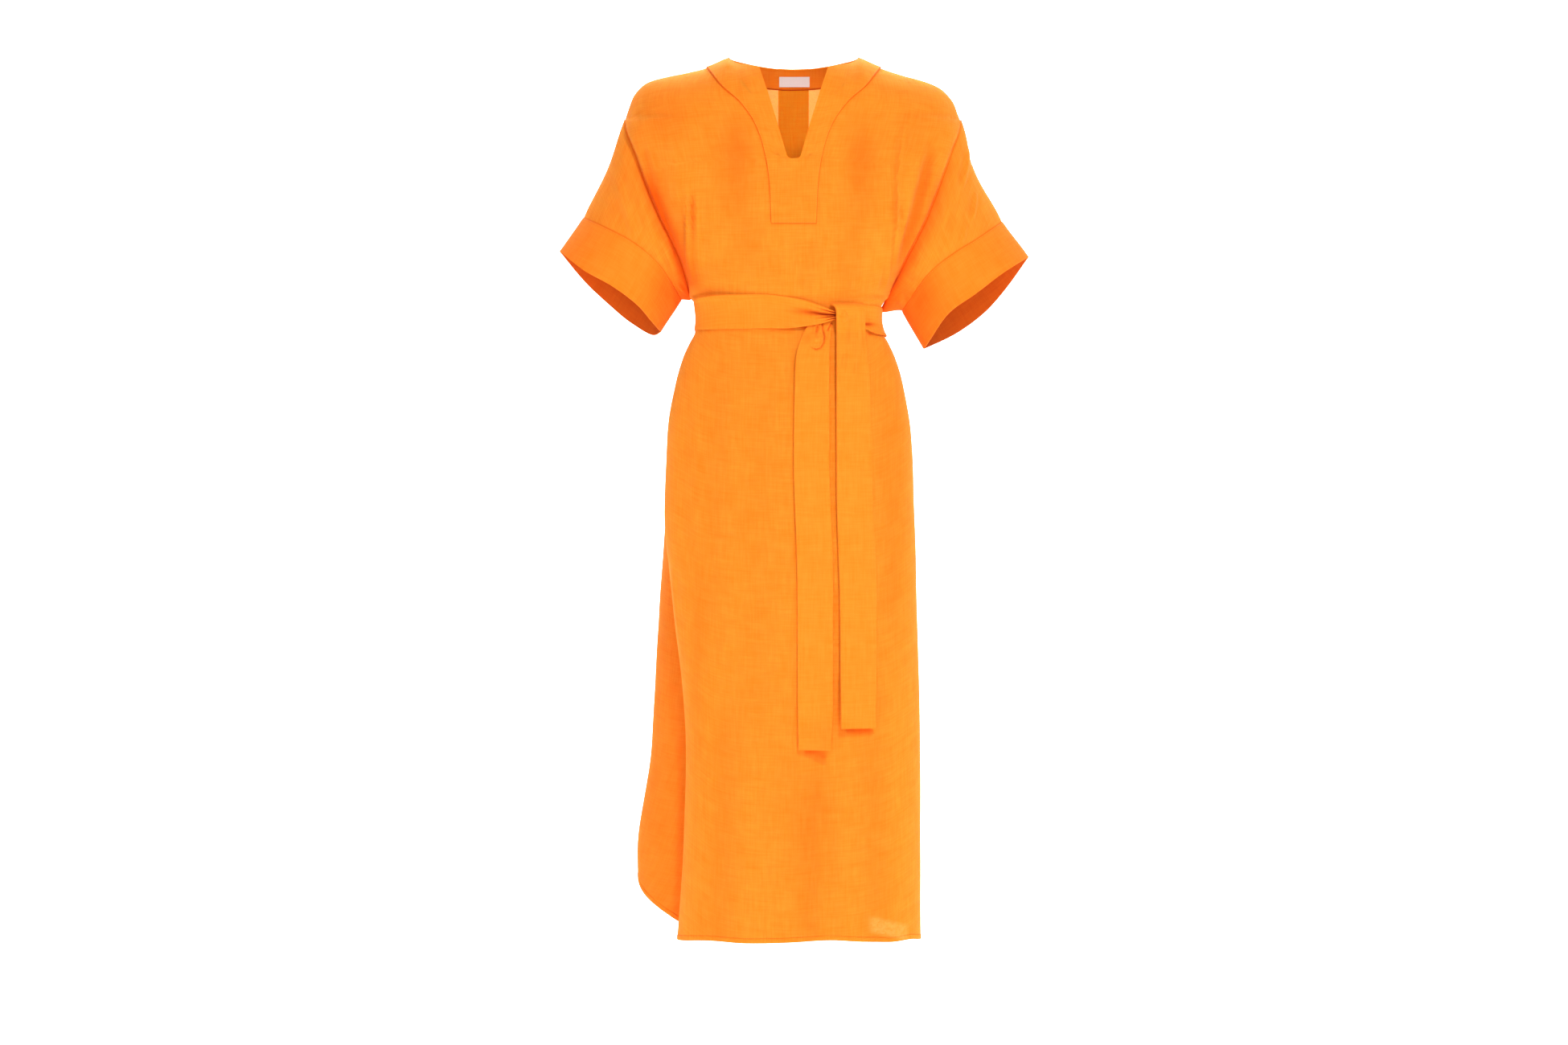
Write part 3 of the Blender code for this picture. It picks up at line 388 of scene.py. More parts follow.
def gridNormals(points, closed=False):
    if closed:
        right = np.roll(points, -1, axis=1) - np.roll(points, 1, axis=1)
    else:
        right = np.gradient(points, axis=1)
    return unit(np.cross(np.gradient(points, axis=0), right))


# soft creases drawn as short lines on a piece: lift is out of the cloth, below zero is a trough
def creaseField(u, v, creases):
    height = np.zeros(np.broadcast(u, v).shape)
    for crease in creases:
        points = crease["line"]
        spans = [np.hypot(b[0] - a[0], b[1] - a[1]) for a, b in zip(points, points[1:])]
        total, start = sum(spans), 0.0
        nearest = np.full(height.shape, 1e9)
        across, along = np.zeros(height.shape), np.zeros(height.shape)
        for (ax, ay), (bx, by), span in zip(points, points[1:], spans):
            dx, dy = (bx - ax) / span, (by - ay) / span
            t = np.clip((u - ax) * dx + (v - ay) * dy, 0.0, span)
            d = np.hypot(u - ax - t * dx, v - ay - t * dy)
            closer = d < nearest
            nearest = np.where(closer, d, nearest)
            across = np.where(closer, (u - ax) * dy - (v - ay) * dx, across)
            along = np.where(closer, (start + t) / total, along)
            start += span
        fade = ease(along / crease.get("fadeIn", 0.25) + (0.0 if crease.get("fadeIn", 0.25) > 0.01 else 1.0))
        fade = fade * ease((1 - along) / crease.get("fadeOut", 0.3))
        width = crease["width"] * mix(1.0, crease.get("spread", 1.0), along)
        shape = np.exp(-(nearest / width) ** 2)
        lip = crease.get("lip", 0.35) * np.exp(-((nearest - 1.9 * width) / width) ** 2)
        if "lipSide" in crease:
            lip = lip * (np.sign(across) == crease["lipSide"])
        height += crease["lift"] * fade * (shape - lip)
    return height


def softWave(u, v, seed, size, amount):    # the slight unevenness of hanging linen
    total = 0.0
    for k in range(5):
        angle = seed * 1.7 + k * 2.39996
        wave = 2 * pi / (size * (1.0 + 0.37 * k))
        total = total + np.sin((u * cos(angle) + v * sin(angle)) * wave + seed * 3.1 + k * 1.3)
    return amount * total / 5


# grids of points with their cloth coordinates, welded where they meet
def buildMesh(name, grids):
    verts, faces, uvs, shades = [], [], [], []
    offset = 0
    for grid in grids:
        points, uv = grid["points"], grid["uv"]
        index = offset + np.arange(points.shape[0] * points.shape[1]).reshape(points.shape[:2])
        if grid.get("closed"):
            index = np.concatenate([index, index[:, :1]], axis=1)
            uv = np.concatenate([uv, 2 * uv[:, -1:] - uv[:, -2:-1]], axis=1)
        quads, corners = (np.stack([a[:-1, :-1], a[1:, :-1], a[1:, 1:], a[:-1, 1:]], 2) for a in (index, uv))
        if grid.get("flip"):
            quads, corners = quads[:, :, ::-1], corners[:, :, ::-1]
        verts.append(points.reshape(-1, 3))
        shades.append(grid.get("shade", np.zeros(points.shape[:2])).reshape(-1))
        faces.append(quads.reshape(-1, 4))
        uvs.append(corners.reshape(-1, 2))
        offset += len(verts[-1])
    mesh = bpy.data.meshes.new(name)
    mesh.from_pydata(np.concatenate(verts).tolist(), [], np.concatenate(faces).tolist())
    mesh.uv_layers.new(name="cloth").data.foreach_set("uv", np.concatenate(uvs).astype(np.float32).ravel())
    # the grids' shade goes into the trough attribute: how much painted shade each point gets
    shade = mesh.attributes.new("trough", "FLOAT", "POINT")
    shade.data.foreach_set("value", np.concatenate(shades).astype(np.float32))
    form = bmesh.new()
    form.from_mesh(mesh)
    bmesh.ops.remove_doubles(form, verts=form.verts, dist=1e-5)
    bmesh.ops.dissolve_degenerate(form, dist=1e-6, edges=form.edges)
    bmesh.ops.delete(form, geom=[v for v in form.verts if not v.link_faces], context="VERTS")
    form.to_mesh(mesh)
    form.free()
    return mesh


def newObject(name, data, material=None):
    made = bpy.data.objects.new(name, data)
    scene.collection.objects.link(made)
    if material:
        data.materials.append(material)
    return made


def addWall(piece, thickness, innerMaterial):   # cloth thickness, inwards from the drawn face
    wall = piece.modifiers.new("wall", "SOLIDIFY")
    wall.thickness = thickness
    wall.offset = -1.0
    wall.use_quality_normals = True
    wall.material_offset = innerMaterial
    deps = bpy.context.evaluated_depsgraph_get()
    done = bpy.data.meshes.new_from_object(piece.evaluated_get(deps), preserve_all_data_layers=True,
                                           depsgraph=deps)
    piece.modifiers.clear()
    old, name = piece.data, piece.data.name
    piece.data = done
    bpy.data.meshes.remove(old)
    done.name = name
    done.shade_smooth()
    done.set_sharp_from_angle(angle=radians(55))


# a piece of cloth in place of its node; a second material is for its inner face
def makePiece(name, node, grids, materials, wall=None):
    piece = newObject(name, buildMesh(name, grids))
    for material in materials:
        piece.data.materials.append(material)
    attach(piece, "root")
    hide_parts(node)
    if wall:
        addWall(piece, wall, len(materials) - 1)
    return piece


def setInputs(node, inputs):               # each input is a value or the socket that feeds it
    for key, value in inputs.items():
        if isinstance(value, bpy.types.NodeSocket):
            node.id_data.links.new(value, node.inputs[key])
        else:
            node.inputs[key].default_value = value


def addNode(tree, kind, inputs={}, **settings):
    node = tree.nodes.new("ShaderNode" + kind)
    for name, value in settings.items():
        setattr(node, name, value)
    setInputs(node, inputs)
    return node


def mathNode(operation, *values, clamp=False):
    tree = next(v for v in values if isinstance(v, bpy.types.NodeSocket)).id_data
    return addNode(tree, "Math", dict(enumerate(values)), operation=operation, use_clamp=clamp).outputs[0]


plus, minus, times, divided = (partial(mathNode, word) for word in ("ADD", "SUBTRACT", "MULTIPLY", "DIVIDE"))


def blend(mask, under, over):              # each colour is a socket or three numbers
    under, over = ((*c, 1) if isinstance(c, tuple) else c for c in (under, over))
    mixed = addNode(mask.id_data, "Mix", {"Factor": mask, "A": under, "B": over}, data_type="RGBA")
    return mixed.outputs["Result"]


def noiseAt(u, v, across, along, shift, detail):
    place = addNode(u.id_data, "CombineXYZ", {0: times(u, across), 1: times(v, along), 2: shift})
    noise = addNode(u.id_data, "TexNoise", {"Scale": 1.0, "Detail": detail, "Vector": place.outputs[0]})
    return noise.outputs["Fac"]


def newGroup(name, inputs, outputs):
    tree = bpy.data.node_groups.new(name, "ShaderNodeTree")
    for label, kind, value in inputs:
        socket = tree.interface.new_socket(label, in_out="INPUT", socket_type="NodeSocket" + kind)
        if value is not None:
            socket.default_value = value
    for label, kind in outputs:
        tree.interface.new_socket(label, in_out="OUTPUT", socket_type="NodeSocket" + kind)
    return tree, tree.nodes.new("NodeGroupInput"), tree.nodes.new("NodeGroupOutput")


# plain weave with slubs both ways: single threads close up, streaks and cloudiness from a step away
def linenWeaveGroup():
    tree, start, end = newGroup(
        "linenWeave",
        [("Cloth", "Vector", None), ("Threads", "Float", 1500.0), ("Slub", "Float", 1.0), ("Cloud", "Float", 1.0)],
        [("Height", "Float"), ("Tone", "Float"), ("Roughness", "Float")])
    split = addNode(tree, "SeparateXYZ", {0: start.outputs["Cloth"]})
    u, v = split.outputs[0], split.outputs[1]
    turn = times(start.outputs["Threads"], pi)
    wobble = times(minus(noiseAt(u, v, 90.0, 90.0, 4.0, 1.0), 0.5), 0.0016)
    warp, weft = (mathNode("SINE", times(plus(a, wobble), turn)) for a in (u, v))
    over = mathNode("GREATER_THAN", times(warp, weft), 0.0)
    weave = plus(times(mathNode("ABSOLUTE", warp), over), times(mathNode("ABSOLUTE", weft), minus(1.0, over)))

    def streaks(fine, coarse, shift):      # waves a metre across and along, lengthwise and crosswise
        lengthwise = noiseAt(u, v, fine, coarse, shift, 2.0)
        return minus(plus(lengthwise, noiseAt(u, v, coarse, fine, shift + 9.0, 2.0)), 1.0)

    thread, slub, broad = streaks(1500.0, 40.0, 1.0), streaks(420.0, 26.0, 2.0), streaks(110.0, 18.0, 3.0)
    cloud = minus(noiseAt(u, v, 38.0, 38.0, 6.0, 3.0), 0.5)
    streaky = times(plus(times(slub, 0.95), times(thread, 0.5)), start.outputs["Slub"])
    cloudy = times(plus(times(cloud, 0.55), times(broad, 0.55)), start.outputs["Cloud"])
    tone = plus(plus(plus(streaky, cloudy), 0.5), times(minus(weave, 0.64), 0.35), clamp=True)
    setInputs(end, {"Height": plus(times(weave, 0.45), times(streaky, 0.9)), "Tone": tone,
                    "Roughness": plus(0.8, times(tone, 0.12), clamp=True)})
    return tree


# painted shade: a deeper, redder colour down in folds, in crease troughs and beside seams, where shade falls
def paintedFoldShadeGroup():
    tree, start, end = newGroup(
        "foldTint",
        [("Colour", "Color", (1.0, 0.4, 0.1, 1.0)), ("Deep", "Color", (0.8, 0.15, 0.01, 1.0)),
         ("Trough", "Float", 0.0)], [("Colour", "Color")])
    amount = times(start.outputs["Trough"], 1.0, clamp=True)
    setInputs(end, {"Colour": blend(amount, start.outputs["Colour"], start.outputs["Deep"])})
    return tree


linenWeave = linenWeaveGroup()
foldTint = paintedFoldShadeGroup()

# colours are linear; deep is the painted shade colour used in folds, creases and beside seams; through is the light
# that passes into the cloth
linenLook = {
    "light": (1.0, 0.3, 0.027), "dark": (0.92, 0.196, 0.007), "deep": (0.82, 0.1, 0.002),
    "threads": 1500.0, "slub": 1.0, "cloud": 0.7, "bump": 0.00035, "sheen": 0.03, "through": 0.45,
}
doubleLook = dict(linenLook, light=(1.0, 0.29, 0.026), dark=(0.93, 0.19, 0.006), deep=(0.52, 0.045, 0.001),
                  slub=0.8, cloud=0.5, through=0.1)
cuffLook = dict(doubleLook, light=(1.0, 0.262, 0.022), dark=(0.92, 0.174, 0.005), deep=(0.8, 0.1, 0.002))
# painted shade: the cuffs' inner face darker and redder than the same linen outside, for the shade inside the
# sleeve's opening
cuffInsideShadedLook = dict(doubleLook, light=(0.78, 0.14, 0.012), dark=(0.68, 0.095, 0.006), through=0.0)
pleatLook = dict(linenLook, light=(1.0, 0.27, 0.018), dark=(0.98, 0.2, 0.008), through=0.6)
# painted light: the inner faces paler than the linen outside, for the light that comes through the cloth
insideLook = dict(linenLook, light=(1.0, 0.32, 0.018), dark=(0.99, 0.245, 0.008), slub=1.3, through=0.5)
threadLook = {"dark": (0.8, 0.215, 0.012), "light": (1.0, 0.36, 0.04), "grain": 900.0}
tapeLook = {"dark": (0.74, 0.74, 0.76), "light": (0.93, 0.93, 0.95), "threads": 3200.0, "slub": 0.2,
            "cloud": 0.1, "bump": 0.00012}


def newMaterial(name):
    material = bpy.data.materials.new(name)
    material.use_nodes = True
    return material, material.node_tree, material.node_tree.nodes["Principled BSDF"]


def weaveNode(tree, look):
    cloth = addNode(tree, "UVMap", uv_map="cloth").outputs[0]
    return addNode(tree, "Group", {"Cloth": cloth, "Threads": look["threads"], "Slub": look["slub"],
                                   "Cloud": look["cloud"]}, node_tree=linenWeave)


def linenMaterial(name, look, patches=()):
    material, tree, shader = newMaterial(name)
    weave = weaveNode(tree, look)
    tone = blend(weave.outputs["Tone"], look["dark"], look["light"])
    # the trough attribute holds the amount of painted shade
    trough = addNode(tree, "Attribute", attribute_name="trough").outputs["Fac"]
    tint = addNode(tree, "Group", {"Colour": tone, "Deep": (*look["deep"], 1), "Trough": trough},
                   node_tree=foldTint)
    colour = tint.outputs["Colour"]
    for patch in patches:
        colour = patch(tree, colour)
    bump = addNode(tree, "Bump", {"Distance": look["bump"], "Strength": 0.8, "Height": weave.outputs["Height"]})
    setInputs(shader, {
        "Base Color": colour, "Roughness": weave.outputs["Roughness"], "Normal": bump.outputs[0],
        "Specular IOR Level": 0.06, "Sheen Weight": look["sheen"], "Sheen Roughness": 0.45,
        "Subsurface Weight": look["through"], "Subsurface Radius": (1.0, 0.45, 0.15), "Subsurface Scale": 0.0018,
    })
    return material


def window(value, low, high, soft):        # 1 between two values, with soft ends
    return times(divided(minus(value, low), soft, clamp=True), divided(minus(high, value), soft, clamp=True))


def placeNodes(tree, grainScale):          # the piece's own x and z, with a fine grain
    place = addNode(tree, "TexCoord").outputs["Object"]
    split = addNode(tree, "SeparateXYZ", {0: place})
    grain = addNode(tree, "TexNoise", {"Scale": grainScale, "Vector": place})
    return split.outputs["X"], split.outputs["Z"], grain.outputs["Fac"]


# painted light: a paler place low on the front, where light comes through the thin cloth
def paintedLightPatch(tree, colour):
    x, z, grain = placeNodes(tree, 260.0)
    lean = plus(z, times(x, 0.25))
    mask = times(window(x, 0.105, 0.168, 0.01), window(lean, -1.246, -1.218, 0.006))
    return blend(times(mask, times(grain, 1.1), clamp=True), colour, (1.0, 0.38, 0.075))


# painted light and shade on the inner faces: the single cloth beside the back pleat paler, where light comes through
# it, and painted shade deep inside the side fold's hem
def paintedInsideLightAndShade(tree, colour):
    x, z, grain = placeNodes(tree, 420.0)
    mask = times(window(mathNode("ABSOLUTE", x), 0.0222, 0.08, 0.0008), window(z, -0.33, -0.02, 0.01))
    colour = blend(times(mask, plus(times(grain, 0.6), 0.6), clamp=True), colour, (1.0, 0.66, 0.19))
    # painted shade low inside the side fold
    deep = times(window(x, -0.3, -0.12, 0.02), window(z, -1.4, -1.16, 0.04))
    return blend(deep, colour, (0.62, 0.075, 0.003))


def threadMaterial():
    material, tree, shader = newMaterial("sewingThread")
    place = addNode(tree, "TexCoord").outputs["Object"]
    grain = addNode(tree, "TexNoise", {"Scale": threadLook["grain"], "Vector": place}).outputs["Fac"]
    setInputs(shader, {"Base Color": blend(grain, threadLook["dark"], threadLook["light"]), "Roughness": 0.55})
    return material


def labelMaterial():
    material, tree, shader = newMaterial("labelTape")
    weave = weaveNode(tree, tapeLook)
    bump = addNode(tree, "Bump", {"Distance": tapeLook["bump"], "Height": weave.outputs["Height"]})
    setInputs(shader, {"Base Color": blend(weave.outputs["Tone"], tapeLook["dark"], tapeLook["light"]),
                       "Normal": bump.outputs[0], "Roughness": 0.5})
    return material


bodyLinen = linenMaterial("bodyLinen", linenLook, [paintedLightPatch])
sleeveLinen = linenMaterial("sleeveLinen", linenLook)
doubleLinen = linenMaterial("doubleLinen", doubleLook)
insideLinen = linenMaterial("insideLinen", insideLook, [paintedInsideLightAndShade])
cuffLinen = linenMaterial("cuffLinen", cuffLook)
cuffInside = linenMaterial("cuffInside", cuffInsideShadedLook)
pleatLinen = linenMaterial("pleatLinen", pleatLook)
sewingThread = threadMaterial()
labelTape = labelMaterial()
print("materials ready")


panelDetail = {"inner": 5, "outer": 6, "side": 3, "neckUpper": 38, "neckTip": 8, "neckLower": 28, "chest": 36,
               "waist": 20, "skirt": 112, "hem": 28, "hemBand": 0.008}
panelLook = {"wall": 0.0007, "bandLift": [0.0, -0.0005, 0.0003, 0.0005, 0.0005, 0.0004, 0.0002],
             "armHem": 0.0045, "armDrop": 0.0011, "sideShade": {-1: 0.7, 1: 0.3}}

# creases are x and z seen from the front
frontLook = {
    "seed": 1.0, "wave": 0.0006, "waveSize": 0.085, "armWidth": 0.016,
    "creases": [
        crease("-225 -118, -207 -190, -186 -262, -160 -330", 6.5, -4.5, lip=0.5),
        crease("-156 -170, -155 -230, -153 -290, -147 -345", 3.4, 4.2, fadeIn=0.4),
        crease("-147.5 -190, -147 -240, -145 -300", 3.4, -2.6, fadeIn=0.3, fadeOut=0.4),
        crease("-141 -195, -140.5 -245, -139.5 -300", 3.4, 2.2, fadeIn=0.3, fadeOut=0.5),
        crease("205 -120, 188 -185, 170 -250, 150 -320", 6.5, -4.5, lip=0.5),
        crease("176 -70, 156 -128, 150 -190, 149.5 -262, 145.5 -320", 3.4, 4, fadeIn=0.35),
        crease("156 -205, 152 -260, 145.5 -315", 3.4, -2.4, fadeIn=0.3, fadeOut=0.4),
        crease("164 -225, 152 -285, 143.5 -325", 3.4, 1.6, fadeIn=0.4),
        crease("140 -300, 136 -325, 130 -346", 3.4, 1.8, fadeIn=0.4),
        crease("133 -310, 130 -330, 124 -350", 3.4, -1.6, fadeIn=0.4),
        crease("90 -335, 88 -352", 3.4, 1, fadeOut=0.1),
        crease("84 -330, 82.5 -352", 3.4, -1, fadeOut=0.1),
        crease("10 -262, 7 -305, 4 -352", 4, 0.9),
        crease("-18 -262, -20 -300, -21 -345", 4.5, -0.7),
        crease("-60 -310, -52 -352", 4.5, 0.8),
        crease("-178 -720, -174 -790, -165 -870", 3.4, 1.8, fadeIn=0.4, fadeOut=0.4),
        crease("-150 -480, -156 -620, -150 -760", 9, -1.2),
        crease("30 -1060, 36 -1160, 38 -1280", 10, 2.2, fadeOut=0.01),
    ],
    # painted shadows under the belt's low edges, beside the ridges by the armholes and under the bottoms of the
    # belt's hanging ends
    "paintedShadows": [
        shadowLine("-142 -402.8, -90 -403, -30 -402.6", 0.9, 0.4),
        shadowLine("-40 -402.4, 0 -401.8, 20 -399.5, 30 -396.5", 1.6, 1),
        shadowLine("100 -403.5, 112 -408.6, 129 -410.6", 1.3, 1),
        shadowLine("-158.6 -232, -156.3 -295, -151.6 -330", 1.7, 0.55),
        shadowLine("-147 -240, -146.3 -290, -144 -325", 1.6, 0.35),
        shadowLine("150.1 -191.6, 146.3 -251, 140.8 -308, 139.4 -344", 1.8, 0.5),
        shadowLine("163 -234.7, 149 -308.1, 140 -342", 1.6, 0.45),
        shadowLine("70 -980, 93 -980.6, 117.5 -979.5", 2, 0.85),
        shadowLine("12 -1010.5, 35 -1013, 49 -1015", 5, 0.8),
    ],
    # broad places of painted shade: centre, size and amount
    "soft": table("x z wide high amount", """
        -78 -140 20 50 0.34, 94 -150 20 55 0.3, -185 -95 35 30 0.22, 180 -120 30 40 0.2,
        -120 -320 30 20 0.15, 85 -320 30 20 0.15, 15 -1080 60 120 0.16, 150 -600 20 220 0.16,
        -140 -900 12 200 0.16"""),
}
backLook = {
    "seed": 5.0, "wave": 0.0007, "waveSize": 0.09, "armWidth": 0.018,
    "creases": [
        crease("-150 -180, -140 -250, -120 -345", 4.2, 3.6),
        crease("-158 -200, -149 -260, -131 -338", 3.4, -2.2),
        crease("148 -170, 139 -240, 122 -340", 4.2, 3.4),
        crease("157 -200, 147 -262, 130 -338", 3.4, -2),
        crease("-60 -290, -45 -352", 4.5, -1.8),
        crease("-85 -305, -76 -352", 3.4, 1.4),
        crease("70 -300, 58 -352", 4.2, -1.8),
        crease("96 -308, 86 -352", 3.4, 1.3),
        crease("-30 -420, -36 -520, -44 -640", 5.5, 2.8, fadeIn=0.1),
        crease("34 -420, 40 -540, 46 -700", 5.5, 2.8, fadeIn=0.1),
        crease("-112 -420, -120 -540, -128 -620", 5, -2.6, fadeIn=0.1),
        crease("118 -425, 124 -520, 130 -600", 5, -2.6, fadeIn=0.1),
        crease("-62 -424, -66 -470, -70 -520", 3.4, -1.6, fadeIn=0.1),
        crease("64 -424, 69 -480, 74 -530", 3.4, -1.6, fadeIn=0.1),
        crease("-120 -860, -130 -1000, -136 -1180", 9, 3),
        crease("112 -900, 120 -1040, 124 -1200", 9, 2.8),
    ],
    "paintedShadows": [],
    # broad places of painted shade: centre, size and amount
    "soft": table("x z wide high amount", """
        -75 -180 30 80 0.25, 80 -180 30 80 0.25, 0 -900 14 340 0.22"""),
}


def softShade(x, z, spots):                # broad places of painted shade
    return sum(s.amount * np.exp(-((x - s.x) / s.wide) ** 2 - ((z - s.z) / s.high) ** 2) for s in spots)


def dressedHalf(panel, sign, look):
    points, marks = halfPanel(panel, sign, panelDetail)
    broad = marks["broad"]
    outward = sign if panel == "front" else -sign
    normal = gridNormals(points) * outward
    x, z = points[..., 0], points[..., 2]
    creases = creaseField(x, z, look["creases"])
    height = creases + softWave(x, z, look["seed"] + 0.5 * sign, look["waveSize"], look["wave"])
    fromArm = halfWidth(sign, z) - np.abs(x)
    armEdge = np.where(z > cut["underarmZ"], fromArm / look["armWidth"], 1.0)
    neckRow = np.minimum(np.arange(points.shape[0])[:, None] / 8, 1.0)
    column = np.arange(points.shape[1])[None, :]
    sideOut = np.clip((points.shape[1] - 1 - column) / 6, 0.0, 1.0)
    atBelt = ease((np.abs(z - cut["waistZ"]) - 0.016) / 0.02)
    height = height * ease(armEdge) * neckRow * sideOut * atBelt
    rolled = 1 - ease(fromArm / panelLook["armHem"])
    height = height - panelLook["armDrop"] * rolled * (z > cut["underarmZ"] + 0.004) * (column >= broad - 10)
    height[-7:] += np.array(panelLook["bandLift"])[:, None]
    points = points + normal * height[..., None]
    # painted shade: darker in crease troughs and broad folds, beside the armhole and along its seam, in broad soft
    # places, and painted shadows under cloth that lies over
    troughs = np.clip(-creases / 0.004, 0, 1)
    shade = np.clip(foldDepth(panels[panel]["folds"], x, z) / 0.009, 0, 1) * 0.3 + 0.25 * troughs
    besideArmhole = np.exp(-(np.maximum(fromArm - 0.004, 0) / 0.017) ** 2) * ease((-0.15 - z) / 0.06)
    besideArmhole = besideArmhole * ease((z - cut["underarmZ"] + 0.002) / 0.02) * (column < broad)
    armholeSeamShade = np.exp(-(fromArm / 0.0018) ** 2) * (z > cut["underarmZ"]) * (column < broad)
    shade = shade + panelLook["sideShade"][sign] * besideArmhole + 0.5 * armholeSeamShade
    shade = np.clip(shade + softShade(x, z, look["soft"]), 0, 1)
    # painted shadows where cloth lies over
    for place in look["paintedShadows"]:
        shade = np.maximum(shade, np.clip(creaseField(x, z, [place]), 0, 1))
    # painted shade: the back's side, wrapped round behind the front's fold, darker low down
    if panel == "back":
        shade = np.maximum(shade, 0.32 * ease((column - broad + 2) / 6) * ease((-0.52 - z) / 0.2))
    # painted shade: a darker line at the top of the hem band
    shade[-6] = np.maximum(shade[-6], 0.5)
    return points, normal, shade, marks


def panelGrids(panel, look):
    halves = {}
    for sign in (-1, 1):
        points, normal, shade, marks = dressedHalf(panel, sign, look)
        halves[sign] = dict(points=points, normal=normal, shade=shade, marks=marks,
                            uv=clothUv(points, marks["neckRows"], sign),
                            flip=(sign < 0) if panel == "front" else (sign > 0))
    return halves


def withLines(array, axis, shares):        # extra lines close to a grid's last one
    last, before = np.take(array, [-1], axis=axis), np.take(array, [-2], axis=axis)
    extra = [mix(before, last, share) for share in shares]
    keep = np.take(array, range(array.shape[axis] - 1), axis=axis)
    return np.concatenate([keep] + extra + [last], axis=axis)


# cloth sewn on a panel, with extra lines close to its edges
def layer(half, rowEnd, columnEnd, offset, edgeShares=(), endShares=()):
    parts = {key: half[key][:rowEnd, :columnEnd] for key in ("points", "normal", "uv", "shade")}
    for key in parts:
        if edgeShares:
            parts[key] = withLines(parts[key], 1, edgeShares)
        if endShares:
            parts[key] = withLines(parts[key], 0, endShares)
    lift = np.full(parts["points"].shape[:2], offset)
    # painted shade: a thin darker line along the layer's edges and end, where it stands off the panel
    if edgeShares:
        lift[:, -2:] -= np.sign(offset) * np.array([0.0002, 0.0005])
        parts["shade"][:, -3:] = np.maximum(parts["shade"][:, -3:], [0.5, 0.9, 1.0])
    if endShares:
        lift[-2:] -= np.sign(offset) * np.array([[0.0002], [0.0005]])
        parts["shade"][-3:] = np.maximum(parts["shade"][-3:], [[0.5], [0.9], [1.0]])
    away = parts["normal"]
    for _ in range(6):                     # evened out, so that it doesn't cross itself at the V's tip
        wide = np.pad(away, ((1, 1), (1, 1), (0, 0)), mode="edge")
        away = unit(wide[:-2, 1:-1] + wide[2:, 1:-1] + wide[1:-1, :-2] + wide[1:-1, 2:] + 2 * away)
    parts["points"] = parts["points"] + away * lift[..., None]
    parts["flip"] = half["flip"]
    return parts


frontHalves = panelGrids("front", frontLook)
backHalves = panelGrids("back", backLook)
panelCloth = [bodyLinen, insideLinen]
front = makePiece("front_cloth", "front", frontHalves.values(), panelCloth, panelLook["wall"])
back = makePiece("back_cloth", "back", backHalves.values(), panelCloth, panelLook["wall"])

facingLook = {"lift": 0.0021, "wall": 0.0009, "edge": (0.35, 0.6, 0.78, 0.9)}
backFacingLook = {"lift": -0.0009, "wall": 0.0008, "edge": (0.5, 0.8), "lowEnd": (3 / 13) ** 1.433}
pleatForm = {"lift": 0.0011, "wall": 0.0009, "edge": (0.5, 0.8)}
neckEnd = frontHalves[1]["marks"]["neckRows"] + 1
facingGrids = [layer(half, neckEnd, half["marks"]["facing"] + 1, facingLook["lift"], facingLook["edge"],
                     facingLook["edge"]) for half in frontHalves.values()]
frontFacing = makePiece("front_facing_cloth", "front_facing", facingGrids, [bodyLinen],
                        facingLook["wall"])

backRows = int(np.searchsorted(backHalves[1]["marks"]["shares"], backFacingLook["lowEnd"]))
backFacingGrids = [layer(half, backRows, 4 * panelDetail["inner"] + 1, backFacingLook["lift"],
                         endShares=backFacingLook["edge"]) for half in backHalves.values()]
backFacing = makePiece("back_facing_cloth", "back_facing", backFacingGrids, [doubleLinen],
                       backFacingLook["wall"])

pleatGrids = [layer(half, half["marks"]["bodiceRows"], panelDetail["inner"] + 1, pleatForm["lift"],
                    pleatForm["edge"]) for half in backHalves.values()]
backPleat = makePiece("back_pleat_cloth", "back_pleat", pleatGrids, [pleatLinen], pleatForm["wall"])
print("front, back, pleat and facings made")


labelLook = {"x": 0.0013, "top": -0.0199, "width": 0.045, "height": 0.0143, "inward": 0.003, "bow": 0.0005,
             "wall": 0.0004}


def makeLabel():
    x = labelLook["x"] + labelLook["width"] * (np.arange(25) / 24 - 0.5)
    z = labelLook["top"] - labelLook["height"] * np.arange(9) / 8
    x, z = np.broadcast_arrays(x[None, :], z[:, None])
    bow = labelLook["bow"] * np.sin((x - x.min()) / labelLook["width"] * pi)
    y = bodicePoint("back", 1, np.abs(x), z)[..., 1] - labelLook["inward"] - bow
    grid = dict(points=np.stack([x, y, z], -1), uv=np.stack([x, z], -1))
    return makePiece("label_tape", "label", [grid], [labelTape], labelLook["wall"])


label = makeLabel()


# the cuffs' lines round the arm, from its upper side at t 0 to the underarm at t 1
cuffFields = "t seamX seamZ endX endZ backX backZ"
cuffs = {
    -1: table(cuffFields, """
        0 -308 -233.6 -343.4 -283.2 -343.4 -283.2, 0.25 -268.6 -253.5 -304.5 -314.5 -310 -323.5,
        0.5 -232.6 -273.5 -264 -337.5 -275.5 -356.2, 0.75 -195 -306 -226.5 -365.5 -237.5 -387.5,
        0.9 -177 -333 -206.5 -388.5 -206 -404.5, 1 -165 -354 -195 -401 -195 -401"""),
    1: table(cuffFields, """
        0 305.5 -239.5 344.6 -291.5 344.6 -291.5, 0.25 268 -266.5 303.6 -318.7 318 -330,
        0.5 232 -289.5 264 -349 285 -368, 0.75 196 -318.5 226 -376 240 -401.5,
        1 159.3 -370.5 191.2 -426 191.2 -426"""),
}
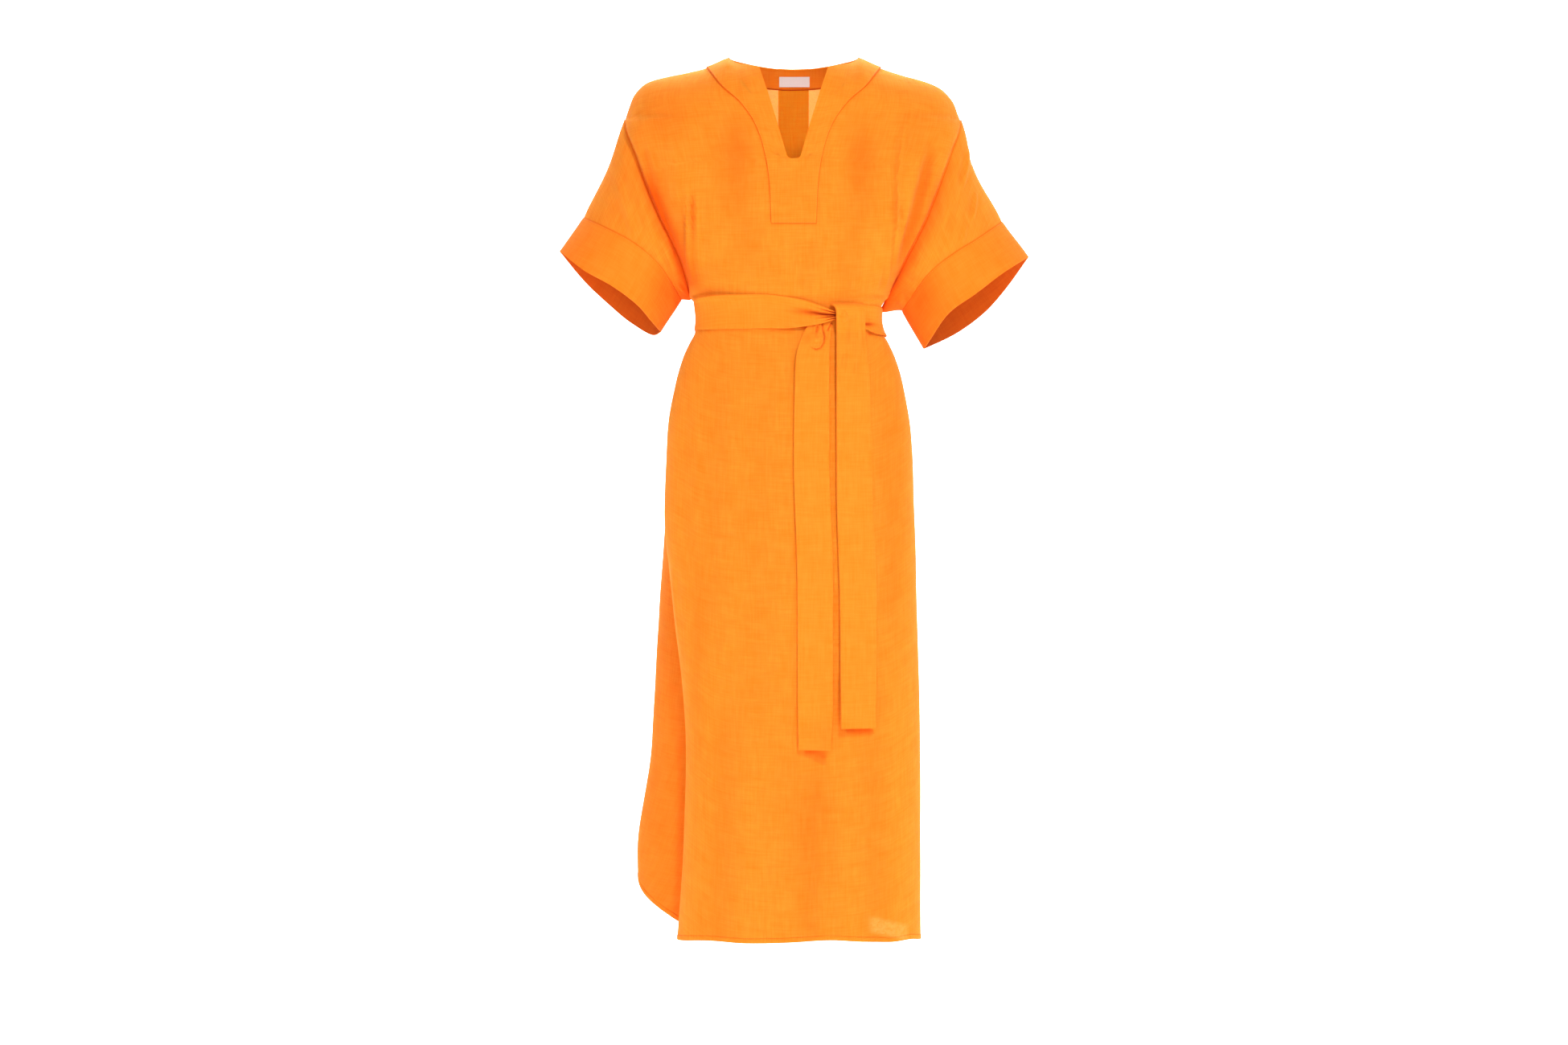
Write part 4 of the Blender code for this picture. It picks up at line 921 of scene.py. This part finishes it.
sleeveLook = {
    -1: dict(name="right", dent=0.005, hang=0.004, seed=11.0,
             creases=[crease("-262 -170, -238 -240, -225 -285", 6, 1.8),
                      crease("-232 -200, -212 -262", 4, -1.6),
                      crease("-198 -270, -180 -320", 4.5, -2.2),
                      crease("-172 -330, -158 -345", 1.8, 1.6)]),
    1: dict(name="left", dent=0.01, hang=0.017, seed=17.0,
            creases=[crease("256 -130, 252 -165, 244 -198", 3.2, 3),
                     crease("265.5 -195, 264 -215, 259 -245", 2.8, 3),
                     crease("250 -245, 245 -275", 3, 2),
                     crease("236 -210, 222 -262", 5, -1.4),
                     crease("160 -318, 176 -330", 3.4, -1.2),
                     crease("164 -330, 180 -344", 3.4, 1.8),
                     crease("152 -338, 168 -356", 3.4, -1.4),
                     crease("150 -352, 164 -364", 3.4, 1.8)]),
}
sleeveForm = {"wall": 0.0007, "cuffWall": 0.0013, "lap": 0.007, "under": 0.0013, "wave": 0.0006, "depth": 0.066,
              "seamDepth": 0.0627, "backShare": 0.6, "bow": 0.01, "intoCuff": 0.006, "columns": 84}


def armholeCurve(sign, out):               # t and points from the shoulder end down to the underarm
    top, low = cut["shoulderEndZ"], cut["underarmZ"]
    t = np.unique(np.concatenate([[0.0, 0.0005 / (top - low)], np.linspace(0, 1, 2500) ** 1.5]))
    z = mix(top, low, t)
    y = tableAt(armhole, "front" if out < 0 else "back", z)
    points = np.stack([sign * halfWidth(sign, z), y, z], -1)
    run = runLength(points)
    at = np.linspace(0, run[-1], sleeveForm["columns"] + 1)
    return np.interp(at, run, t), valuesAlong(at, run, points)


def sleeveRing(sign):                      # t, side and armhole point of each column, all the way round
    (tFront, front), (tBack, behind) = armholeCurve(sign, -1), armholeCurve(sign, 1)
    t = np.concatenate([tFront, tBack[1:-1][::-1]])
    out = np.concatenate([-np.ones(len(tFront)), np.ones(len(tBack) - 2)])
    return t, out, np.concatenate([front, behind[1:-1][::-1]])


def lens(t):
    return np.clip(4 * t * (1 - t), 0.0, 1.0) ** 0.7


def cuffPoint(sign, t, out, edge, backShare, depth):
    def column(name):
        return tableAt(cuffs[sign], name, t, "t")
    behind = backShare * (out > 0)
    x, z = (column(edge + axis) + behind * (column("back" + axis) - column("end" + axis)) for axis in "XZ")
    return np.stack([x, out * depth * lens(t), z], -1)


def tubeUv(points, row):
    around = np.broadcast_to(lengthsAlong(points[row:row + 1], 1), points.shape[:2])
    return np.stack([around, -lengthsAlong(points, 0)], -1)


def seamFade(t):                           # the painted shade along the cuff's seam fades towards the underarm
    return 1 - 0.8 * ease((t - 0.5) / 0.3)


def makeSleeve(sign, t, out, start, goal, end):
    look = sleeveLook[sign]
    length = np.linalg.norm(goal - start, axis=1)
    lapped = sleeveForm["lap"] * ease((np.abs(start[:, 1]) - 0.01) / 0.02)
    under = start.copy()
    under[:, 1] -= out * sleeveForm["under"] * np.minimum(np.abs(start[:, 1]) / 0.02, 1.0)
    under[:, 2] -= 0.0012 * (1 - t) ** 8
    shares = np.concatenate([[-1.0, 0.0, 0.006, 0.013, 0.021], np.linspace(0.03, 1, 66), [1.0]])[:, None]
    rings = [under - (goal - start) / length[:, None] * lapped[:, None]]
    for share in shares[1:-1, 0]:
        ring = mix(under, goal, share)
        ring[:, 1] += out * sleeveForm["bow"] * sin(pi * share) * lens(t)
        ring[:, 0] -= sign * look["dent"] * sin(pi * share) ** 2 * (1 - t) ** 4
        hang = look["hang"] * np.exp(-((1 - t) / 0.09) ** 2) * sin(pi * share ** 0.5) ** 1.5
        ring[:, 2] -= hang
        ring[:, 0] -= sign * 1.05 * hang
        rings.append(ring)
    rings.append(goal + unit(end - goal) * sleeveForm["intoCuff"])
    points = np.stack(rings)
    normal = gridNormals(points, closed=True) * -sign
    u, v = points[..., 0], points[..., 2]
    creases = creaseField(u, v, look["creases"])
    wave = softWave(u * 1.3, v + points[..., 1], look["seed"], 0.07, sleeveForm["wave"])
    inner = np.clip(shares, 0, 1)
    height = (creases * np.where(out < 0, 1.0, 0.6) + wave) * ease(inner / 0.12) * ease((1 - inner) / 0.1)
    points = points + normal * height[..., None]
    away = inner * length
    # painted shade: dark along the armhole seam and in a band beside it, in crease troughs, along the cuff's seam and
    # towards the underarm
    shade = 0.85 * np.exp(-(away / 0.0015) ** 2) * ease(t / 0.12) + 0.25 * np.clip(-creases / 0.003, 0, 1)
    shade = shade + 0.45 * np.exp(-(away / 0.014) ** 2) * ease((t - 0.1) / 0.3)
    shade = shade + 0.4 * np.exp(-((away - length) / 0.0012) ** 2) * seamFade(t)
    shade = np.clip(shade + 0.45 * np.exp(-((t - 1) / 0.16) ** 2), 0, 1)
    grid = dict(points=points, uv=tubeUv(points, 24), closed=True, flip=sign > 0, shade=shade)
    return makePiece("sleeve_%s_cloth" % look["name"], "sleeve_" + look["name"], [grid],
                     [sleeveLinen, insideLinen], sleeveForm["wall"])


def makeCuff(sign, t, out, goal, end):
    look = sleeveLook[sign]
    away = gridNormals(np.stack([goal, end]), closed=True)[0] * -sign
    shares = np.concatenate([[0.0, 0.012, 0.03], np.linspace(0.06, 0.96, 16), [0.985, 1.0]])[:, None]
    lift = np.interp(shares, [0.0, 0.03, 1.0], [0.0004, 0.0009, 0.0005])
    points = mix(goal, end, shares[..., None]) + away * lift[..., None]
    normal = gridNormals(points, closed=True) * -sign
    wave = softWave(points[..., 0], points[..., 2] + points[..., 1], look["seed"] + 3, 0.05, sleeveForm["wave"])
    points = points + normal * (wave * ease(shares * 3))[..., None]
    # painted shade: dark at the seam edge, and towards the underarm on the front half
    shade = np.interp(shares, [0.0, 0.013, 0.04], [0.75, 0.3, 0.0]) * seamFade(t)
    shade = shade + 0.5 * np.exp(-((t - 0.86) / 0.11) ** 2) * (out < 0) * ease(1.2 - shares)
    grid = dict(points=points, uv=tubeUv(points, 8), closed=True, flip=sign > 0, shade=np.clip(shade, 0, 1))
    cuff = makePiece("cuff_%s_cloth" % look["name"], "cuff_" + look["name"], [grid], [cuffLinen, cuffInside],
                     sleeveForm["cuffWall"])
    return cuff, points, normal


sleeves, cuffPieces = {}, {}
for sign in (-1, 1):
    t, out, start = sleeveRing(sign)
    goal = cuffPoint(sign, t, out, "seam", sleeveForm["backShare"], sleeveForm["seamDepth"])
    end = cuffPoint(sign, t, out, "end", 1.0, sleeveForm["depth"])
    sleeves[sign] = makeSleeve(sign, t, out, start, goal, end)
    cuffPieces[sign] = makeCuff(sign, t, out, goal, end)
print("sleeves and cuffs made")


# the belt's two edges in front, on the long stretch and on the one that ends at the knot
beltLong = table("x top low", """
    -145 -362 -399, -129.8 -355 -401, -88.5 -351.5 -401, -46.6 -351 -400.5, -15.3 -354 -400.8,
    16 -360 -397.8, 38 -368 -394, 57 -375 -388.5, 70 -377.5 -386.5""")
beltShort = table("x top low", "66 -365.3 -401, 100 -365.3 -401.2, 112 -365.5 -406.6, 129 -368 -409")
beltLook = {
    "wall": 0.0013, "clear": 0.0012, "backTop": -0.361, "width": 0.05, "knotX": 0.062, "swellX": -0.02,
    "lift": 0.007, "turned": 0.0007, "topTurned": 0.001, "wave": 0.0005,
    # share across the belt far off and at the knot, where each starts, width in shares, height
    "pleats": [(0.4, 0.47, -0.022, 0.1, -0.0056), (0.27, 0.33, 0.01, 0.06, 0.0012),
               (0.16, 0.22, 0.028, 0.05, -0.0022), (0.52, 0.56, 0.012, 0.05, 0.0014),
               (0.66, 0.64, 0.026, 0.05, -0.0028), (0.76, 0.74, 0.026, 0.04, 0.0012),
               (0.86, 0.84, 0.036, 0.045, -0.0024)],
    # waves along the back: phase, share across, height, width in shares
    "backWaves": [(-0.6, 0.33, 0.0012, 0.135), (0.9, 0.66, -0.001, 0.18), (2.0, 0.45, 0.0008, 0.15)],
    "lowStandOff": (0.012, 0.03, 0.0034),
}
shortLook = {
    "lowStandOff": (0.11, 0.02, 0.004),
    "creases": [crease("94 -393, 106 -393.4, 122 -392.6", 3, -2.3, fadeIn=0.01, fadeOut=0.55),
                crease("94 -388.5, 118 -388.8", 1.6, 0.8, fadeIn=0.01)],
}


def dressPoint(panel, sign, share, step, z):
    sidePoint = frontSidePoint if panel == "front" else backSidePoint
    return np.where((step > 0)[..., None], sidePoint(sign, step, z), skirtPoint(panel, sign, share, z))


def waistLine(stretches, z):               # points on the dress along the belt's way, at the heights z
    parts, start = [], 0
    for panel, sign, share, step in stretches:
        end = start + len(share)
        parts.append(dressPoint(panel, sign, share[None, :], step[None, :], z[:, start:end]))
        start = end
    return np.concatenate(parts, axis=1)


def movedOut(points, distance):
    along = np.gradient(points, axis=1)
    length = np.hypot(along[..., 0], along[..., 1])
    out = np.stack([along[..., 1] / length, -along[..., 0] / length, np.zeros(length.shape)], -1)
    return points + out * distance[..., None]


def pleatHeights(x, y, share):             # the long stretch drawn together towards the knot, with painted shade in the pleats' troughs and close to the knot
    swell = ease((x - beltLook["swellX"]) / (beltLook["knotX"] - beltLook["swellX"])) * (y < 0)
    height, shade = swell * beltLook["lift"], 0.0
    for far, atKnot, startX, width, high in beltLook["pleats"]:
        run = np.clip((x - startX) / (beltLook["knotX"] - startX), 0.0, 1.0)
        pleat = ease(run * 1.3) * (y < 0) * np.exp(-((share - mix(far, atKnot, run)) / width) ** 2)
        height = height + high * pleat
        shade = shade + (0.85 * pleat if high < 0 else 0.0)
    return height, shade + 0.6 * ease((x - 0.05) / 0.012) * (y < 0)


def makeBelt(name, node, stretches, edges, look):
    long = look is beltLook
    count = sum(len(share) for _, _, share, _ in stretches)
    level = waistLine(stretches, np.full((1, count), cut["waistZ"]))
    x, y = level[0, :, 0], level[0, :, 1]
    behind = np.where(y > 0, ease(y / 0.08), 0.0)
    top = mix(tableAt(edges, "top", x, "x"), beltLook["backTop"], behind)
    low = mix(tableAt(edges, "low", x, "x"), beltLook["backTop"] - beltLook["width"], behind)
    share = np.concatenate([[0.0, 0.012], np.linspace(0.03, 0.97, 38 if long else 24), [0.988, 1.0]])[:, None]
    z = mix(top, low, share)
    points = waistLine(stretches, z)
    if long:
        height, shade = pleatHeights(x, y, share)
        for phase, at, high, width in beltLook["backWaves"]:
            wave = np.sin(lengthsAlong(level, 1) / 0.16 * 2 * pi + phase)
            height = height + (y > 0) * high * wave * np.exp(-((share - at) / width) ** 2)
    else:
        height = creaseField(points[..., 0], z, look["creases"]) * (y < 0)
        # painted shade in the short stretch's crease troughs
        shade = np.clip(-height / 0.0026, 0, 1)
    at, wide, lift = look["lowStandOff"]
    height = height + (y < 0) * lift * np.exp(-((x - at) / wide) ** 2) * share ** 5
    height = height + softWave(points[..., 0] * 0.8, z * 1.5 + points[..., 1], 23.0, 0.06, beltLook["wave"])
    height = height - beltLook["turned"] * np.abs(share * 2 - 1) ** 24
    height = height - beltLook["topTurned"] * np.exp(-share / 0.06)
    points = movedOut(points, height + beltLook["clear"] + beltLook["wall"])
    uv = np.stack([np.broadcast_to(lengthsAlong(points[18:19], 1), z.shape), z - top], -1)
    grid = dict(points=points, uv=uv, shade=np.clip(shade, 0, 1))
    return makePiece(name, node, [grid], [doubleLinen], beltLook["wall"])


def beltStretches():                       # panel, side, shares across it and steps round its side
    def across(panel, sign, shares):
        return panel, sign, shares, np.zeros(len(shares))

    def aroundSide(panel, sign, steps):
        return panel, sign, np.ones(len(steps)), steps

    width = float(halfWidth(1, cut["waistZ"]))
    frontShares = columnShare("front", np.arange(0, 45) / 4.0)
    backShares = columnShare("back", np.arange(0, 41) / 4.0)
    frontRun, backRun = np.arange(1, 16) / 3.0, np.arange(1, 18) / 3.0
    toKnot = np.concatenate([np.linspace(0, 0.03, 14)[:-1], np.linspace(0.03, 0.068, 32)]) / width
    long = [aroundSide("back", 1, backRun[::-1]), across("back", 1, backShares[1:][::-1]),
            across("back", -1, backShares), aroundSide("back", -1, backRun),
            aroundSide("front", -1, frontRun[:-1][::-1]),
            across("front", -1, frontShares[1:][::-1]), across("front", 1, toKnot)]
    fromKnot = frontShares[frontShares * width > 0.061][0]
    short = [across("front", 1, np.linspace(fromKnot, 1.0, 44)), aroundSide("front", 1, frontRun)]
    return long, short


longStretches, shortStretches = beltStretches()
belt = makeBelt("belt_cloth", "belt", longStretches, beltLong, beltLook)
beltShortCloth = makeBelt("belt_short_cloth", "belt_short", shortStretches, beltShort, shortLook)


endFields = "z left right lift"
beltEnds = {
    "left": dict(node="belt_end_left", roll=0.0022, rows=table(endFields, """
        -363.2 57 100 4, -365.5 55.6 101.5 11, -369 60 102.2 14, -374 62.4 103 15, -385 63.2 103.2 14.5,
        -410 63.4 104 9, -485 63.2 110 6, -625 63.4 113 4.2, -800 68 119.6 4.2, -977 69.6 118 11.5"""),
        creases=[
            crease("75.5 -434, 70 -464", 1.6, 1.2),
            crease("90.5 -445, 88.8 -474", 1.6, 1),
            crease("83 -376, 80 -400, 78 -430", 4, -0.5),
            crease("96 -372, 93 -410, 95 -450", 3, 1)]),
    "right": dict(node="belt_end_right", roll=0.0014, rows=table(endFields, """
        -387 28.5 55 1.8, -394 23.2 54.8 2.6, -402 17.8 54 4, -420 9.8 52 6.4, -438 5 51.2 6,
        -460 3 51 4.8, -590 1 51.2 3.2, -770 6.2 56.2 3.2, -940 6.6 56.2 3.4, -1008 8 53.2 6"""),
        creases=[
            crease("54.5 -392, 51 -399, 47.2 -406.4", 1.2, -2.2, fadeIn=0.01),
            crease("41.4 -393, 41.4 -401.8, 44.2 -412.2, 43.2 -421.5, 38.5 -429, 32.2 -431.7, 25.2 -428, 21.7 -422.6",
                   1.3, -2, fadeIn=0.01, fadeOut=0.25, lip=0.8, lipSide=1),
            crease("34 -399, 32.1 -408.7, 35.6 -416.8", 2, -2, fadeIn=0.01),
            crease("30 -405, 33 -422", 6, 1.8)]),
}
liftedCorner = {"height": 0.016, "fromZ": -0.955, "toZ": -1.008, "foldZ": -0.985, "fold": 0.0012}


def makeBeltEnd(side):
    look, rows, wall = beltEnds[side], beltEnds[side]["rows"], beltLook["wall"]
    top, low = rows[0].z, rows[-1].z
    z = np.concatenate([top - np.linspace(0, 0.075, 76), np.linspace(top - 0.078, low, 96)])[:, None]
    left, right, lift = (tableAt(rows, column, z) for column in ("left", "right", "lift"))
    share = np.concatenate([[0.0, 0.015], np.linspace(0.04, 0.96, 42), [0.985, 1.0]])[None, :]
    x = mix(left, right, share)
    z = z * np.ones_like(x)
    surface = skirtPoint("front", 1, x / sideValues(1, z)[1], z)[..., 1]
    creases = creaseField(x, z, look["creases"])
    away = lift + wall + creases + softWave(x, z, 31.0 + len(side), 0.08, 0.0006) - 0.0007 * share ** 16
    if side == "left":
        away = away + 0.0012 * (1 - share) ** 3 * ease((-0.4 - z) / 0.05)
    else:
        corner = liftedCorner
        turned = ease((corner["fromZ"] - z) / (corner["fromZ"] - corner["toZ"]))
        away = away + corner["height"] * turned ** 1.4 * share ** 1.3
        away = away + corner["fold"] * np.exp(-((z - corner["foldZ"] - 0.25 * (x - 0.03)) / 0.006) ** 2)
    points = np.stack([x, surface - away, z], -1)
    turn = np.linspace(0, 2.2, 6)[1:][::-1]
    rolled = [points[:, :1] + look["roll"] * np.array([-sin(a), 1 - cos(a), 0.0]) for a in turn]
    points = np.concatenate(rolled + [points], axis=1)
    uv = np.stack([lengthsAlong(points, 1), points[..., 2]], -1)
    # painted shade in the crease troughs, none on the rolled edge
    shade = np.concatenate([np.zeros((len(z), len(turn))), 0.55 * np.clip(-creases / 0.0022, 0, 1)], axis=1)
    grid = dict(points=points, uv=uv, shade=shade)
    return makePiece(look["node"] + "_cloth", look["node"], [grid], [doubleLinen], wall)


endLeft, endRight = makeBeltEnd("left"), makeBeltEnd("right")

# where it sits on the front is taken at the end of the long stretch
knotLook = {"size": (0.009, 0.0048, 0.0115), "x": 0.07, "z": -0.3825, "off": 0.0105, "rings": 28, "segments": 48,
            "waistX": 0.062}


def makeKnot():
    lat = np.linspace(0.02, pi - 0.02, knotLook["rings"])[:, None]
    lon = np.linspace(0, 2 * pi, knotLook["segments"], endpoint=False)[None, :]
    twist = lon + 0.5 * np.cos(lat)
    radius = 1 + 0.05 * np.sin(5 * twist) + 0.03 * np.sin(9 * twist + 1)
    waistShare = np.array(knotLook["waistX"] / float(halfWidth(1, cut["waistZ"])))
    waistY = float(skirtPoint("front", 1, waistShare, np.array(cut["waistZ"]))[1])
    ball = np.stack(np.broadcast_arrays(np.sin(lat) * np.cos(lon) * radius, np.sin(lat) * np.sin(lon) * radius,
                                          np.cos(lat)), -1)
    points = ball * knotLook["size"] + [knotLook["x"], waistY - knotLook["off"], knotLook["z"]]
    uv = np.stack(np.broadcast_arrays(lon * 0.01, -lat * 0.012), -1)
    grid = dict(points=points, uv=uv, closed=True, flip=True)
    return makePiece("belt_knot_cloth", "belt_knot", [grid], [doubleLinen])


knot = makeKnot()
knot.data.shade_smooth()
print("belt, ends and knot made")


stitchLook = {"step": 0.003, "length": 0.0021, "width": 0.00042, "height": 0.00022, "start": 0.001}
stitchFaces = [(0, 1, 2), (0, 2, 3), (0, 3, 4), (0, 4, 1), (5, 2, 1), (5, 3, 2), (5, 4, 3), (5, 1, 4)]


def stitchRow(points, normals):            # six corners for each short thread along a line
    run = runLength(points)
    starts = np.arange(stitchLook["start"], run[-1] - stitchLook["length"], stitchLook["step"])
    head, tail = (valuesAlong(starts + more, run, points) for more in (0.0, stitchLook["length"]))
    normal = valuesAlong(starts, run, normals)
    middle = (head + tail) / 2
    side = unit(np.cross(tail - head, normal)) * stitchLook["width"] / 2
    up = normal * stitchLook["height"]
    return np.stack([head, middle + side, middle + up, middle - side, middle - up, tail], 1).reshape(-1, 3)


def addStitches(name, lines):
    verts = np.concatenate([stitchRow(points, normals) for points, normals in lines])
    mesh = bpy.data.meshes.new(name)
    faces = [[k + f for f in face] for k in range(0, len(verts), 6) for face in stitchFaces]
    mesh.from_pydata(verts.tolist(), [], faces)
    stitches = newObject(name, mesh, sewingThread)
    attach(stitches, "root")
    return stitches


def gridLine(grid, rows=slice(None), columns=slice(None)):
    return grid["points"][rows, columns].reshape(-1, 3), grid["normal"][rows, columns].reshape(-1, 3)


facingLines = [gridLine(grid, slice(1, -4), -4) for grid in facingGrids]
facingLines += [gridLine(grid, -4, slice(0, -4)) for grid in facingGrids]
facingStitches = addStitches("facing_stitches", facingLines)
frontHem = addStitches("front_hem_stitches", [gridLine(half, -6) for half in frontHalves.values()])
backHem = addStitches("back_hem_stitches", [gridLine(half, -6) for half in backHalves.values()])
for sign in (-1, 1):
    line = [np.concatenate([a[2], a[2][:1]]) for a in cuffPieces[sign][1:]]
    addStitches("cuff_%s_stitches" % sleeveLook[sign]["name"], [line])
print("stitches made")

# pale floor that bends up into a wall, soft lights and a camera at the photo's angle
stageLook = {"ground": (0.95, 0.95, 0.95), "glow": 0.55, "world": 0.38, "floorZ": -1.62, "frontY": -4.0,
             "bendY": 1.6, "bend": 0.9, "topZ": 4.0, "half": 5.0}


def makeStage():
    material, tree, shader = newMaterial("paleGround")
    setInputs(shader, {"Base Color": (*stageLook["ground"], 1), "Roughness": 0.9,
                       "Emission Color": (1, 1, 1, 1), "Emission Strength": stageLook["glow"]})
    # the wall's back is clear, so that a view from behind still shows the garment
    side = addNode(tree, "NewGeometry")
    clear = addNode(tree, "BsdfTransparent")
    mixed = addNode(tree, "MixShader",
                    {0: side.outputs["Backfacing"], 1: shader.outputs[0], 2: clear.outputs[0]})
    setInputs(tree.nodes["Material Output"], {"Surface": mixed.outputs[0]})
    floorZ, bendY, bend = stageLook["floorZ"], stageLook["bendY"], stageLook["bend"]
    profile = [(stageLook["frontY"], floorZ), (bendY, floorZ)]
    profile += [(bendY + bend * sin(a), floorZ + bend * (1 - cos(a))) for a in np.linspace(0.1, pi / 2, 14)]
    profile += [(bendY + bend, stageLook["topZ"])]
    verts = [(x, y, z) for y, z in profile for x in (-stageLook["half"], stageLook["half"])]
    mesh = bpy.data.meshes.new("ground")
    mesh.from_pydata(verts, [], [(k, k + 1, k + 3, k + 2) for k in range(0, len(verts) - 2, 2)])
    ground = newObject("ground", mesh, material)
    mesh.shade_smooth()
    return ground


def makeLight(name, place, aim, size, power):
    light = bpy.data.lights.new(name, "AREA")
    light.shape = "RECTANGLE"
    light.size, light.size_y = size
    light.energy = power
    holder = newObject(name, light)
    holder.location = place
    holder.rotation_euler = (Vector(aim) - Vector(place)).to_track_quat("-Z", "Y").to_euler()
    return holder


ground = makeStage()
lights = [
    makeLight("keyRight", (1.5, -4.2, 3.0), (0, 0, -0.6), (0.7, 0.7), 190),
    makeLight("backWash", (0, 2.0, 1.9), (0, 0.1, -0.4), (2.4, 1.6), 130),
    makeLight("frontSoft", (-0.3, -5.6, 0.1), (0, 0, -0.5), (0.9, 0.9), 48),
    makeLight("groundBack", (0, 1.4, 1.9), (0, 2.5, -0.8), (4.0, 1.0), 90),
]
world = bpy.data.worlds.new("paleWorld")
world.use_nodes = True
world.node_tree.nodes["Background"].inputs[0].default_value = (1, 1, 1, 1)
world.node_tree.nodes["Background"].inputs[1].default_value = stageLook["world"]
scene.world = world

lensData = bpy.data.cameras.new("camera")
lensData.sensor_width = 36.0
lensData.lens = 93.87
camera = newObject("camera", lensData)
camera.location = (-0.01416, -6.0, -0.68086)
camera.rotation_euler = (radians(90), 0, 0)
scene.camera = camera
scene.view_settings.view_transform = "Standard"
print("stage ready")
